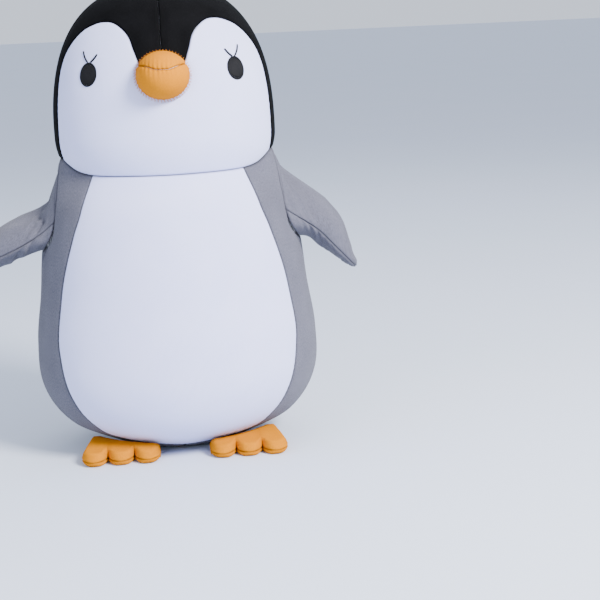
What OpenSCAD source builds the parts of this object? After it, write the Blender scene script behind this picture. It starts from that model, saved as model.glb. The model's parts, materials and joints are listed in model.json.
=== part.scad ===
// Standing plush penguin: knit panels sewn into a head and body, stuffed flippers,
// beak and feet, and a zip in the centre back seam.
// It faces -Y, stands on z = 0, and its own left side is +X.

/* [Body] */
// Height of the whole toy
total_height = 390; // [330:5:450]
// Widest part of the body, side to side
body_width = 241; // [210:1:270]
// Height of the neck seam at the front
neck_height = 237; // [215:1:250]
// Depth of the body as a share of its width
body_depth_ratio = 0.82; // [0.75:0.01:0.95]

/* [Head] */
// Widest part of the head, side to side
head_width = 186; // [176:1:200]
// Height at which the head is widest
head_widest_height = 266; // [258:1:285]
// Depth of the head as a share of its width
head_depth_ratio = 0.84; // [0.78:0.01:0.95]
// Roundness of the crown, where 2 is an ellipse
crown_power = 2.5; // [2:0.1:3]

/* [Fabric] */
// Thickness of a sewn panel with its padding
panel_thickness = 1.2; // [0.8:0.1:1.6]
// Gap between the edges of neighbouring panels
seam_gap = 0.6; // [0.5:0.1:1]
// Distance from the outer surface to the filling
filling_depth = 4; // [3:0.5:6]

/* [Beak] */
// Width of the beak
beak_width = 44; // [36:1:50]
// Height of the beak
beak_height = 39; // [32:1:42]
// How far the beak stands out from the face
beak_length = 23; // [16:1:28]
// Height of the middle of the beak
beak_centre_height = 316.5; // [310:0.5:322]

/* [Eyes] */
// Width of an eye, measured round the face
eye_width = 17.2; // [11:0.2:19]
// Height of an eye
eye_height = 19.2; // [12:0.2:21]
// Height of the middle of an eye
eye_centre_height = 319.5; // [312:0.5:326]
// Angle of an eye from the front, in degrees
eye_angle = 42.3; // [36:0.1:46]

/* [Flippers] */
// Length of a flipper from the shoulder
flipper_length = 78; // [64:1:90]
// Width of a flipper, front to back
flipper_width = 54; // [44:1:58]
// Height of the shoulder hinge
shoulder_height = 200; // [194:1:206]
// How much lower the right shoulder hinge is
right_shoulder_drop = 14; // [0:1:16]
// Angle of the left flipper below the horizontal
left_flipper_angle = 48; // [20:1:52]
// Angle of the right flipper below the horizontal
right_flipper_angle = 22; // [15:1:52]

/* [Feet] */
// Distance from the middle of the toy to the middle of a foot
foot_offset = 53.5; // [50:0.5:60]
// Width of a foot
foot_width = 66; // [58:1:66]
// Thickness of a foot at the toes
foot_thickness = 15; // [12:1:16]
// Distance from the middle of the toy to the tips of the toes
toe_reach = 82; // [80:1:92]

/* [Zip] */
// Height of the lower end of the zip
zip_low = 70; // [60:1:85]
// Length of the row of teeth
zip_length = 120; // [90:3:129]
// Length of the pull tab
pull_length = 24; // [16:1:32]

/* [Hidden] */

WHITE = [0.92, 0.92, 0.97];
BLACK = [0.08, 0.08, 0.09];
GREY = [0.52, 0.54, 0.6];
ORANGE = [0.9, 0.6, 0.22];
FIBRE = [0.96, 0.95, 0.9];
STEEL = [0.7, 0.7, 0.72];

// Body outline: share of the neck height, share of the greatest half width
BODY_PROFILE = [
    [0, 0.387], [0.034, 0.545], [0.105, 0.816], [0.232, 0.979], [0.4, 1],
    [0.57, 0.955], [0.74, 0.916], [0.886, 0.849], [1, 0.703],
];
// Edge of the belly panel: share of the neck height, degrees from the front
BELLY_EDGE = [
    [0.021, 2], [0.034, 24], [0.059, 39], [0.135, 46.5], [0.211, 50], [0.4, 55.5],
    [0.5, 56.3], [0.616, 55], [0.722, 51.5], [0.802, 48.5], [0.882, 45.8], [1, 47],
];
// Side seam of the body, the same way round
SIDE_SEAM = [
    [0, 90], [0.4, 88], [0.66, 84], [0.747, 73], [0.785, 67], [0.823, 66],
    [0.863, 66.3], [0.916, 69], [0.983, 78], [1, 80],
];
// Upper edge of the face panel: degrees from the front, share of the head height
FACE_TOP = [
    [0, 0.585], [11.6, 0.586], [15, 0.647], [18.6, 0.719], [24, 0.768], [32, 0.803],
    [40, 0.81], [47, 0.801], [57, 0.768], [65, 0.706], [70.5, 0.627], [72.2, 0.55],
];
FACE_SIDE = 72.2; // degrees from the front to the side edge of the face
// Rise of the neck seam above its front: degrees from the front, millimetres
NECK_RISE = [[0, 0], [17, 0.2], [46.5, 0.9], [59, 3.5], [67.5, 8.7], [73, 12], [95, 13], [180, 9]];

body_half = body_width / 2;
head_half = head_width / 2;
head_height = total_height - neck_height;
neck_half = body_half * BODY_PROFILE[8][1];
BODY_MIDDLE = [0, 0, neck_height * 0.46];
HEAD_MIDDLE = [0, 0, neck_height + head_height * 0.35];
CROWN_RADIUS = 0.8; // half width of the last row of points at the crown

// ---- curves through a few knots ----

function knot(k, x, i = 0) = (i >= len(k) - 2 || x < k[i + 1][0]) ? i : knot(k, x, i + 1);
function slope(k, i) =
    let (a = max(i - 1, 0), b = min(i + 1, len(k) - 1))
    (k[b][1] - k[a][1]) / (k[b][0] - k[a][0]);
// Smooth curve through the knots, level with its end knots beyond them
function curve(k, x) =
    x <= k[0][0] ? k[0][1]
    : x >= k[len(k) - 1][0] ? k[len(k) - 1][1]
    : let (i = knot(k, x), h = k[i + 1][0] - k[i][0], t = (x - k[i][0]) / h)
        (2 * t ^ 3 - 3 * t ^ 2 + 1) * k[i][1] + (t ^ 3 - 2 * t ^ 2 + t) * h * slope(k, i)
        + (3 * t ^ 2 - 2 * t ^ 3) * k[i + 1][1] + (t ^ 3 - t ^ 2) * h * slope(k, i + 1);
function mix(a, b, t) = a + (b - a) * t;

// ---- surfaces of the body and head ----

function body_half_at(z) = body_half * curve(BODY_PROFILE, z / neck_height);
function head_half_at(z) =
    z < head_widest_height
    ? head_half - (head_half - neck_half)
        * ((head_widest_height - z) / (head_widest_height - neck_height)) ^ 2
    : max(CROWN_RADIUS, head_half
        * (1 - min(1, (z - head_widest_height) / (total_height - head_widest_height))
            ^ crown_power) ^ (1 / crown_power));
function body_point(angle, z) =
    [body_half_at(z) * sin(angle), -body_depth_ratio * body_half_at(z) * cos(angle), z];
function head_depth_at(z) =
    mix(body_depth_ratio, head_depth_ratio,
        min(1, (z - neck_height) / (head_widest_height - neck_height)));
function head_point(angle, z) =
    [head_half_at(z) * sin(angle), -head_depth_at(z) * head_half_at(z) * cos(angle), z];
// A point moved towards a centre by a depth, or away from it by a negative one
function toward(p, centre, depth) = p - depth * (p - centre) / norm(p - centre);
function neck_at(angle) = neck_height + curve(NECK_RISE, abs(angle));
function face_top_at(angle) = neck_height + head_height * curve(FACE_TOP, abs(angle));
// Height of the underside of the body above a point of the ground, by bisection
function underside(radius, low = 0, high = 95, steps = 12) =
    let (middle = (low + high) / 2)
    steps == 0 ? middle
    : body_half_at(middle) < radius ? underside(radius, middle, high, steps - 1)
    : underside(radius, low, middle, steps - 1);
// Degrees round the surface that a width in millimetres takes up
function gap_angle(width, half) = asin(min(1, width / half));

// ---- closed solids from grids of points ----

// Solid between two grids of the same size, the first on the outside
module between(outer, inner) {
    rows = len(outer);
    cols = len(outer[0]);
    points = concat([for (row = outer) each row], [for (row = inner) each row]);
    function at(side, i, j) = side * rows * cols + i * cols + j;
    edge = concat(
        [for (j = [0:cols - 2]) [0, j]],
        [for (i = [0:rows - 2]) [i, cols - 1]],
        [for (j = [cols - 1:-1:1]) [rows - 1, j]],
        [for (i = [rows - 1:-1:1]) [i, 0]]
    );
    n = len(edge);
    faces = concat(
        [for (i = [0:rows - 2], j = [0:cols - 2]) each [
            [at(0, i, j), at(0, i + 1, j + 1), at(0, i, j + 1)],
            [at(0, i, j), at(0, i + 1, j), at(0, i + 1, j + 1)],
            [at(1, i, j), at(1, i, j + 1), at(1, i + 1, j + 1)],
            [at(1, i, j), at(1, i + 1, j + 1), at(1, i + 1, j)],
        ]],
        [for (e = [0:n - 1]) let (a = edge[e], b = edge[(e + 1) % n]) each [
            [at(0, a[0], a[1]), at(0, b[0], b[1]), at(1, b[0], b[1])],
            [at(0, a[0], a[1]), at(1, b[0], b[1]), at(1, a[0], a[1])],
        ]]
    );
    polyhedron(points, faces, convexity = 6);
}
// Panel of cloth: a grid of points with a thickness towards a centre
module panel(grid, centre) {
    between(grid, [for (row = grid) [for (p = row) toward(p, centre, panel_thickness)]]);
}
// Solid through rings of points, each ring closed, from the lowest to the highest
module rings(list) {
    n = len(list[0]);
    points = [for (ring = list) each ring];
    last = len(list) - 1;
    faces = concat(
        [[for (j = [0:n - 1]) j]],
        [for (i = [0:last - 1], j = [0:n - 1]) let (k = (j + 1) % n) each [
            [i * n + j, (i + 1) * n + j, (i + 1) * n + k],
            [i * n + j, (i + 1) * n + k, i * n + k],
        ]],
        [[for (j = [n - 1:-1:0]) last * n + j]]
    );
    polyhedron(points, faces, convexity = 4);
}

// ---- body ----

BODY_ROWS = 19;
BELLY_LOW = BELLY_EDGE[0][0]; // share of the neck height where the belly panel starts
BASE_TOP = 0.002; // share of the neck height where the panels that meet the base start
COLLAR = 0.8; // share of the neck height above which the body follows the neck seam
// Shares of the neck height of the rows of a body panel, closer together at both ends
BELLY_LEVELS = [for (i = [0:BODY_ROWS - 1])
    mix(BELLY_LOW, 1, (1 - cos(180 * i / (BODY_ROWS - 1))) / 2)];
SIDE_LEVELS = concat([BASE_TOP, BELLY_LOW * 0.6], BELLY_LEVELS);
// Point of the body, which meets the head all along the neck seam
function body_at(angle, share) =
    let (
        collar = max(0, (share - COLLAR) / (1 - COLLAR)),
        top = neck_at(angle) - seam_gap / 2,
        z = share * neck_height + (top - neck_height) * collar ^ 1.5,
        half = body_half * curve(BODY_PROFILE, share)
            * mix(1, head_half_at(top) / neck_half, collar ^ 2)
    ) [half * sin(angle), -mix(body_depth_ratio, head_depth_at(top), collar) * half * cos(angle), z];

// Body panel between two angles that depend on the share of the neck height
module body_panel(first, last, levels, cols) {
    grid = [for (share = levels) [for (j = [0:cols - 1])
        body_at(mix(first(share), last(share), j / (cols - 1)), share)]];
    panel(grid, BODY_MIDDLE);
}
function belly_edge_at(share) = share < BELLY_LOW ? 0 : curve(BELLY_EDGE, share);
function side_seam_at(share) = curve(SIDE_SEAM, share);
function half_at(share) = body_half * curve(BODY_PROFILE, share);

module belly_panel() {
    color(WHITE) body_panel(
        function (share) -belly_edge_at(share), function (share) belly_edge_at(share),
        BELLY_LEVELS, 15
    );
}
module front_side_left() {
    color(GREY) body_panel(
        function (share) belly_edge_at(share) + gap_angle(seam_gap, half_at(share)),
        function (share) side_seam_at(share) - gap_angle(seam_gap / 2, half_at(share)),
        SIDE_LEVELS, 8
    );
}
module front_side_right() {
    mirror([1, 0, 0]) front_side_left();
}
// Half width of the opening that the zip is sewn into
ZIP_OPENING = 8.6;
ZIP_MARGIN = 10; // length of the opening past each end of the teeth
ZIP_TAPER = 3; // length over which the opening comes to its full width
function zip_half_at(z) =
    let (
        low = zip_low - ZIP_MARGIN, high = zip_low + zip_length + ZIP_MARGIN,
        share = min(1, max(0, min(z - low, high - z) / ZIP_TAPER))
    ) mix(seam_gap / 2, ZIP_OPENING, share);
// Rows of the back panels: those of the sides, with more where the opening starts and ends
function levels_between(low, high) =
    [for (share = SIDE_LEVELS) if (share > low && share < high) share];
opening_low = (zip_low - ZIP_MARGIN) / neck_height;
opening_high = (zip_low + zip_length + ZIP_MARGIN) / neck_height;
opening_end = ZIP_TAPER / neck_height;
BACK_LEVELS = concat(
    levels_between(0, opening_low), opening_low, opening_low + opening_end,
    levels_between(opening_low + opening_end, opening_high - opening_end),
    opening_high - opening_end, opening_high, levels_between(opening_high, 1), 1
);
module back_left() {
    color(GREY) body_panel(
        function (share) side_seam_at(share) + gap_angle(seam_gap / 2, half_at(share)),
        function (share) 180 - gap_angle(zip_half_at(share * neck_height), half_at(share)),
        BACK_LEVELS, 13
    );
}
module back_right() {
    mirror([1, 0, 0]) back_left();
}
module base_panel() {
    half = body_half_at(0);
    color(GREY) linear_extrude(panel_thickness)
        polygon([for (a = [0:6:354]) [half * cos(a), body_depth_ratio * half * sin(a)]]);
}
module body_filling() {
    low = panel_thickness + 0.4;
    high = neck_height - 1;
    count = 15;
    color(FIBRE) rings([for (i = [0:count - 1]) let (z = mix(low, high, i / (count - 1)))
        [for (a = [0:12:348])
            let (p = toward(body_point(a, z), BODY_MIDDLE, filling_depth + zip_relief(a, z)))
            [p[0], p[1], max(low, min(high, p[2]))]]]);
}
// The filling is pressed in behind the zip
function zip_relief(angle, z) = abs(angle - 180) < 20 && z > zip_low - 20 ? 3 : 0;

// ---- head ----

HEAD_ROWS = 11;
module head_filling() {
    count = 11;
    color(FIBRE) rings([for (i = [0:count - 1])
        let (z = mix(neck_height + 0.4, total_height, sin(90 * i / (count - 1))))
        [for (a = [0:12:348]) toward(head_point(a, z), HEAD_MIDDLE, filling_depth)]]);
}
// Panel of the head between a lower and an upper height at each angle
module head_panel(angles, low, high, rows) {
    grid = [for (i = [0:rows - 1]) [for (a = angles)
        head_point(a, mix(low(a), high(a), sin(90 * i / (rows - 1))))]];
    panel(grid, HEAD_MIDDLE);
}
module face_panel() {
    count = 28;
    angles = [for (j = [0:count]) mix(-FACE_SIDE, FACE_SIDE, j / count)];
    color(WHITE) head_panel(
        angles, function (a) neck_at(a) + 0.3, function (a) face_top_at(a) - seam_gap / 2, 9
    );
}
module hood_left() {
    start = gap_angle(seam_gap / 2, head_half);
    over_face = [for (j = [0:14]) mix(start, FACE_SIDE + 0.4, j / 14)];
    behind = [for (j = [0:11]) mix(FACE_SIDE + 0.9, 180 - start, j / 11)];
    color(BLACK) head_panel(
        concat(over_face, behind),
        function (a) a < FACE_SIDE + 0.6 ? face_top_at(a) + seam_gap / 2 : neck_at(a) + 0.3,
        function (a) total_height, HEAD_ROWS
    );
}
module hood_right() {
    mirror([1, 0, 0]) hood_left();
}

// ---- beak ----

BEAK_TILT = 10; // degrees that the beak points up
BEAK_CLEAR = 0.5; // space between the face and the beak
BEAK_FILLING = 1.8; // distance from the beak's cloth to its filling
// Point of the beak's outline at a share of its size, out from the face by a height and a length
function beak_point(ring, angle, inset, raise, length = beak_length) =
    let (
        u = ring * (beak_width / 2 - inset) * cos(angle),
        v = ring * (beak_height / 2 - inset) * sin(angle),
        z = beak_centre_height + v,
        half = head_half_at(z),
        y = -head_depth_at(z) * sqrt(half ^ 2 - u ^ 2),
        out = raise + max(0, length - inset) * (1 - ring ^ 2.4) ^ 0.5
    )
    [u, y - out * cos(BEAK_TILT), z + (out - raise) * sin(BEAK_TILT)];
BEAK_CORNER = 0.215; // height of the seam at the beak's sides, as a share of its height
BEAK_DIP = 0.05; // and in the middle
BEAK_STEPS = 7;
BEAK_ANGLES = [for (a = [0:15:345]) a];
module beak_dome(inset, raise) {
    rings(concat(
        [for (ring = [0.02, 0.35, 0.7, 1])
            [for (a = BEAK_ANGLES) beak_point(ring, a, inset, raise, 0)]],
        [for (i = [1:BEAK_STEPS]) let (ring = cos(84 * i / BEAK_STEPS))
            [for (a = BEAK_ANGLES) beak_point(ring, a, inset, raise)]]
    ));
}
module beak_shell() {
    difference() {
        beak_dome(0, BEAK_CLEAR);
        translate([0, 0.01, 0]) beak_dome(panel_thickness, BEAK_CLEAR - 0.6);
    }
}
// Region above the seam of the beak, which dips in the middle, moved up by a height
module above_beak_seam(lift) {
    wide = beak_width;
    corner = beak_height * BEAK_CORNER;
    dip = beak_height * BEAK_DIP;
    translate([0, 0, beak_centre_height + lift]) rotate([90, 0, 0]) linear_extrude(200)
        polygon([
            [-wide, corner], [-beak_width * 0.42, corner], [-beak_width * 0.18, dip],
            [beak_width * 0.18, dip], [beak_width * 0.42, corner], [wide, corner],
            [wide, 2 * beak_height], [-wide, 2 * beak_height],
        ]);
}
module beak_upper() {
    color(ORANGE) intersection() {
        beak_shell();
        above_beak_seam(seam_gap / 2);
    }
}
module beak_lower() {
    color(ORANGE) difference() {
        beak_shell();
        above_beak_seam(-seam_gap / 2);
    }
}
module beak_filling() {
    color(FIBRE) beak_dome(panel_thickness + BEAK_FILLING, BEAK_CLEAR + 0.3);
}

// ---- embroidery ----

THREAD_CLEAR = 0.25; // space under the embroidery
THREAD_HEIGHT = 0.9; // top of the embroidery above the face
// Degrees round the face that one millimetre takes up at an eye
EYE_DEGREES = 180 / PI / (0.93 * head_half_at(eye_centre_height));
function on_face(angle, z, raise) = toward(head_point(angle, z), HEAD_MIDDLE, -raise);
module eye_left() {
    turns = [for (a = [0:15:345]) a];
    function ring(share, raise) = [for (a = turns) on_face(
        eye_angle + share * eye_width / 2 * EYE_DEGREES * cos(a),
        eye_centre_height + share * eye_height / 2 * sin(a), raise
    )];
    color(BLACK) rings([
        ring(0.02, THREAD_CLEAR), ring(0.5, THREAD_CLEAR), ring(1, THREAD_CLEAR),
        ring(1, THREAD_HEIGHT * 0.7), ring(0.5, THREAD_HEIGHT), ring(0.02, THREAD_HEIGHT),
    ]);
}
module eye_right() {
    mirror([1, 0, 0]) eye_left();
}
LASH_WIDTH = 1.1;
// One curved lash from a point at the eye's top edge, in degrees and millimetres
module lash(from_angle, to_angle, from_z, to_z, bow) {
    steps = 5;
    function centre(t) =
        [mix(from_angle, to_angle, t) + bow * sin(180 * t), mix(from_z, to_z, t)];
    function row(raise, side) = [for (i = [0:steps]) let (c = centre(i / steps))
        on_face(c[0] + side * LASH_WIDTH / 2 * EYE_DEGREES, c[1], raise)];
    between([row(THREAD_HEIGHT, -1), row(THREAD_HEIGHT, 1)],
        [row(THREAD_CLEAR, -1), row(THREAD_CLEAR, 1)]);
}
module lashes_left() {
    top = eye_centre_height + eye_height / 2 + 0.6;
    color(BLACK) {
        lash(eye_angle + 1.4, eye_angle + 5.7, top, top + 8, 0.5);
        lash(eye_angle - 1, eye_angle - 4.7, top, top + 5.4, -0.4);
    }
}
module lashes_right() {
    mirror([1, 0, 0]) lashes_left();
}

// ---- zip ----

TAPE_THICKNESS = 0.6;
TAPE_INNER = 1.3; // distance from the middle to a tape's inner edge
TAPE_OUTER = 8; // distance from the middle to a tape's outer edge
TAPE_SINK = 0.8; // depth of the tape under the line between the ends
TOOTH_PITCH = 1.5;
TOOTH_LENGTH = 1.05;
TOOTH_REACH = 2.6; // how far a tooth reaches to its own side
TOOTH_HOOK = 1.2; // how far it reaches past the middle
TOOTH_HEIGHT = 1.5;
zip_bottom = [0, body_depth_ratio * body_half_at(zip_low), zip_low];
zip_top_y = body_depth_ratio * body_half_at(zip_low + zip_length);
ZIP_LEAN = atan((zip_bottom[1] - zip_top_y) / zip_length); // lean of the zip to the front
// Puts a child on the zip: X across, Z up along the teeth, and -Y away from the body
module on_zip() {
    translate(zip_bottom) rotate([ZIP_LEAN, 0, 0]) rotate([0, 0, 180]) children();
}
module zip_tape_left() {
    color(GREY) on_zip() translate([-TAPE_OUTER, TAPE_SINK, -4])
        cube([TAPE_OUTER - TAPE_INNER, TAPE_THICKNESS, zip_length + 9]);
}
module zip_tape_right() {
    mirror([1, 0, 0]) zip_tape_left();
}
// Every second tooth of the row, from the first one up
module teeth(first, low_x, high_x) {
    count = floor((zip_length / TOOTH_PITCH - first - 1) / 2);
    on_zip() for (i = [0:count])
        translate([low_x, TAPE_SINK - TOOTH_HEIGHT, (2 * i + first) * TOOTH_PITCH])
            cube([high_x - low_x, TOOTH_HEIGHT, TOOTH_LENGTH]);
}
module zip_teeth_left() {
    color(GREY) teeth(0, -TOOTH_REACH, TOOTH_HOOK);
}
module zip_teeth_right() {
    color(GREY) teeth(1, -TOOTH_HOOK, TOOTH_REACH);
}
SLIDER_LENGTH = 10;
SLIDER_WIDTH = 9;
SLIDER_PLATE = 0.9;
SLIDER_CLEAR = 0.35; // space between the slider and what runs through it
STOP_LENGTH = 2;
module zip_stops() {
    color(GREY) on_zip() {
        translate([-TOOTH_REACH, TAPE_SINK - TOOTH_HEIGHT, -STOP_LENGTH - 0.4])
            cube([2 * TOOTH_REACH, TOOTH_HEIGHT, STOP_LENGTH]);
        for (x = [-TOOTH_REACH, TAPE_INNER])
            translate([x, TAPE_SINK - TOOTH_HEIGHT, zip_length + 2.4])
                cube([TOOTH_REACH - TAPE_INNER, TOOTH_HEIGHT, STOP_LENGTH]);
    }
}
slider_low = zip_length + 2.4 - SLIDER_CLEAR - SLIDER_LENGTH;
slider_front = TAPE_SINK - TOOTH_HEIGHT - SLIDER_CLEAR; // inner face of the outer plate
slider_back = TAPE_SINK + TAPE_THICKNESS + SLIDER_CLEAR; // inner face of the inner plate
flange_depth = TOOTH_HEIGHT; // from the outer plate down to just above the tape
POST_HALF = 0.8;
POST_LENGTH = 1.9;
PIN_RADIUS = 0.8;
PIN_HEIGHT = 2.1; // from the outer plate to the middle of the pin
PIN_Z = 6;
EAR_WIDTH = 1;
EAR_INNER = 2.3;
pin_y = slider_front - SLIDER_PLATE - PIN_HEIGHT;
module zip_slider() {
    color(STEEL) on_zip() translate([0, 0, slider_low]) {
        for (y = [slider_front - SLIDER_PLATE, slider_back])
            translate([-SLIDER_WIDTH / 2, y, 0]) cube([SLIDER_WIDTH, SLIDER_PLATE, SLIDER_LENGTH]);
        for (x = [-SLIDER_WIDTH / 2, SLIDER_WIDTH / 2 - 1])
            translate([x, slider_front - 0.01, 0]) cube([1, flange_depth, SLIDER_LENGTH]);
        translate([-POST_HALF, slider_front - 0.01, SLIDER_LENGTH - POST_LENGTH])
            cube([2 * POST_HALF, slider_back - slider_front + 0.02, POST_LENGTH]);
        for (x = [-EAR_INNER - EAR_WIDTH, EAR_INNER])
            translate([x, pin_y - 1.3, PIN_Z - 1.5]) cube([EAR_WIDTH, PIN_HEIGHT + 1.31, 3]);
        translate([-EAR_INNER - 0.5, pin_y, PIN_Z]) rotate([0, 90, 0])
            cylinder(h = 2 * EAR_INNER + 1, r = PIN_RADIUS, $fn = 32);
    }
}
PULL_RADIUS = 1.7;
PULL_CLEAR = 0.06; // running clearance between the pull and its pin
PULL_THICKNESS = 1.4;
PULL_WIDTH = 6;
PULL_NECK = 8; // from the pin to the wide part of the tab
PULL_HOLE = 1.2; // radius of the hole in the end of the tab
module zip_pull() {
    eye_half = EAR_INNER - 0.35;
    color(STEEL) on_zip() translate([0, pin_y, slider_low + PIN_Z]) difference() {
        union() {
            translate([-eye_half, 0, 0]) rotate([0, 90, 0])
                cylinder(h = 2 * eye_half, r = PULL_RADIUS, $fn = 32);
            translate([-eye_half, -PULL_THICKNESS / 2, -PULL_NECK])
                cube([2 * eye_half, PULL_THICKNESS, PULL_NECK]);
            translate([0, PULL_THICKNESS / 2, -PULL_NECK]) rotate([90, 0, 0])
                linear_extrude(PULL_THICKNESS) pull_outline();
        }
        translate([-eye_half - 1, 0, 0]) rotate([0, 90, 0])
            cylinder(h = 2 * eye_half + 2, r = PIN_RADIUS + PULL_CLEAR, $fn = 32);
    }
}
module pull_outline() {
    half = PULL_WIDTH / 2;
    low = PULL_NECK - pull_length + half;
    difference() {
        union() {
            translate([-half, low]) square([PULL_WIDTH, -low + 1]);
            translate([0, low]) circle(r = half, $fn = 32);
        }
        translate([0, low]) circle(r = PULL_HOLE, $fn = 24);
    }
}

// ---- flippers ----

// Share of the length, share of half the width
FLIPPER_WIDTH = [
    [0.05, 0.8], [0.15, 0.93], [0.3, 1], [0.5, 0.93], [0.7, 0.76], [0.86, 0.53],
    [0.95, 0.32], [1, 0.06],
];
// Share of the length, thickness above the seam in millimetres
FLIPPER_TOP = [
    [0.05, 7], [0.12, 15], [0.25, 21], [0.4, 21.5], [0.55, 18.5], [0.7, 13.5], [0.86, 8.5],
    [0.95, 5.2], [1, 1],
];
// Share of the length, thickness below the seam in millimetres
FLIPPER_BOTTOM = [
    [0.05, 1.8], [0.12, 3], [0.25, 5.6], [0.42, 9], [0.7, 8.2], [0.86, 5.6], [0.95, 3.5],
    [1, 0.9],
];
FLIPPER_START = 0.07; // share of the length where the cloth starts, clear of the body
FLIPPER_CLOTH = 0.75; // thickness of the flippers' cloth
FLIPPER_FILLING = 1.4; // distance from the outer surface to the filling
FLIPPER_ROWS = 12;
SHOULDER_Y = -2;
SHOULDER_CLEAR = 0.3; // space between the body and the shoulder hinge
function shoulder_at(height) = [body_half_at(height) + SHOULDER_CLEAR, SHOULDER_Y, height];
left_shoulder = shoulder_at(shoulder_height);
right_shoulder = shoulder_at(shoulder_height - right_shoulder_drop);
// Point of a flipper at a share of its length and an angle round it, drooping by an angle
function flipper_point(t, turn, inset, shoulder, droop) =
    let (
        along = mix(0, flipper_length - inset, t),
        across = max(0.3, curve(FLIPPER_WIDTH, t) * flipper_width / 2 - inset) * cos(turn),
        thick = sin(turn) > 0 ? curve(FLIPPER_TOP, t) : curve(FLIPPER_BOTTOM, t),
        up = max(0.2, thick - inset) * sin(turn)
    )
    shoulder + [along * cos(droop) + up * sin(droop), across, up * cos(droop) - along * sin(droop)];
function flipper_row(i, start) = mix(start, 1, sin(90 * i / (FLIPPER_ROWS - 1)));
module flipper_cloth(from_turn, to_turn, shoulder, droop) {
    count = 9;
    function grid(inset) = [for (i = [0:FLIPPER_ROWS - 1]) [for (j = [0:count])
        flipper_point(flipper_row(i, FLIPPER_START), mix(from_turn, to_turn, j / count), inset,
            shoulder, droop)]];
    between(grid(0), grid(FLIPPER_CLOTH));
}
module flipper_stuffing(shoulder, droop) {
    rings([for (i = [0:FLIPPER_ROWS - 1]) [for (turn = [0:24:336])
        flipper_point(flipper_row(i, FLIPPER_START), turn, FLIPPER_FILLING,
            shoulder, droop)]]);
}
module flipper_left_upper() {
    color(GREY) flipper_cloth(2, 178, left_shoulder, left_flipper_angle);
}
module flipper_left_under() {
    color(GREY) flipper_cloth(184, 356, left_shoulder, left_flipper_angle);
}
module flipper_left_filling() {
    color(FIBRE) flipper_stuffing(left_shoulder, left_flipper_angle);
}
module flipper_right_upper() {
    color(GREY) mirror([1, 0, 0]) flipper_cloth(2, 178, right_shoulder, right_flipper_angle);
}
module flipper_right_under() {
    color(GREY) mirror([1, 0, 0]) flipper_cloth(184, 356, right_shoulder, right_flipper_angle);
}
module flipper_right_filling() {
    color(FIBRE) mirror([1, 0, 0]) flipper_stuffing(right_shoulder, right_flipper_angle);
}

// ---- feet ----

TOES = 3;
TOE_DEPTH = 17; // from the tip of a toe to the notch beside it
FOOT_SEAM = 6; // height of the seam round a foot
FOOT_ROOT_RADIUS = 72; // the foot starts where the underside of the body is this wide
FOOT_ROOT_Y = 38; // and nowhere behind this distance from the middle
BODY_CLEAR = 1.2; // space between a foot and the underside of the body
function toe_share(u) =
    let (toe = min(TOES - 1, floor((u + 1) / 2 * TOES)), middle = (2 * toe + 1) / TOES - 1)
    sqrt(max(0, 1 - ((u - middle) * TOES) ^ 2));
function foot_front(u) = -(toe_reach - TOE_DEPTH + TOE_DEPTH * toe_share(u));
function foot_root(x) =
    -max(FOOT_ROOT_Y, body_depth_ratio * sqrt(max(0, FOOT_ROOT_RADIUS ^ 2 - x ^ 2)));
function foot_edge(u, v) = (1 - abs(u) ^ 4) * (1 - v ^ 5);
// Ground point of a foot: u across from -1 to 1, v from the root to the toes
function foot_ground(u, v) =
    let (x = foot_offset + u * foot_width / 2)
    [x, mix(foot_root(x), foot_front(u), v)];
function foot_top(u, v) =
    let (
        g = foot_ground(u, v),
        puff = sqrt(foot_edge(u, v)) * mix(1, 0.75 + 0.25 * toe_share(u), v),
        free = FOOT_SEAM + 1 + (foot_thickness - FOOT_SEAM - 1) * puff,
        room = underside(norm([g[0], g[1] / body_depth_ratio])) - BODY_CLEAR
    ) min(free, room);
function foot_bottom(u, v) = (FOOT_SEAM - 1) * (1 - foot_edge(u, v) ^ 0.3);
TOE_COLUMNS = [-1, -0.86, -0.5, 0, 0.5, 0.86]; // columns of points over one toe
FOOT_COLUMNS = concat(
    [for (toe = [0:TOES - 1], part = TOE_COLUMNS) (2 * toe + 1 + part) / TOES - 1], [1]
);
FOOT_LINES = [0, 0.2, 0.4, 0.6, 0.78, 0.9, 0.97, 1];
FOOT_CLOTH = 1; // thickness of the feet's cloth
FOOT_FILLING = 0.65; // height of the filling as a share of the room above and below the seam
FOOT_INSET = 0.9; // width of the filling as a share of the foot's
FOOT_REACH = 0.68; // length of the filling as a share of the foot's
// Layer of the foot between two heights, over a share of its width and of its length
module foot_layer(upper, lower, width = 1, length = 1) {
    function grid(height) = [for (line = FOOT_LINES) [for (column = FOOT_COLUMNS)
        let (u = column * width, v = mix((1 - width) / 2, length, line), g = foot_ground(u, v))
        [g[0], g[1], height(u, v)]]];
    between(grid(upper), grid(lower));
}
module foot_left_upper() {
    color(ORANGE) foot_layer(
        function (u, v) foot_top(u, v),
        function (u, v) max(FOOT_SEAM + seam_gap / 2, foot_top(u, v) - FOOT_CLOTH)
    );
}
module foot_left_sole() {
    color(ORANGE) foot_layer(
        function (u, v) min(FOOT_SEAM - seam_gap / 2, foot_bottom(u, v) + FOOT_CLOTH),
        function (u, v) foot_bottom(u, v)
    );
}
module foot_left_filling() {
    color(FIBRE) foot_layer(
        function (u, v) mix(FOOT_SEAM, foot_top(u, v), FOOT_FILLING),
        function (u, v) mix(FOOT_SEAM, foot_bottom(u, v), FOOT_FILLING), FOOT_INSET, FOOT_REACH
    );
}
module foot_right_upper() {
    mirror([1, 0, 0]) foot_left_upper();
}
module foot_right_sole() {
    mirror([1, 0, 0]) foot_left_sole();
}
module foot_right_filling() {
    mirror([1, 0, 0]) foot_left_filling();
}

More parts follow.
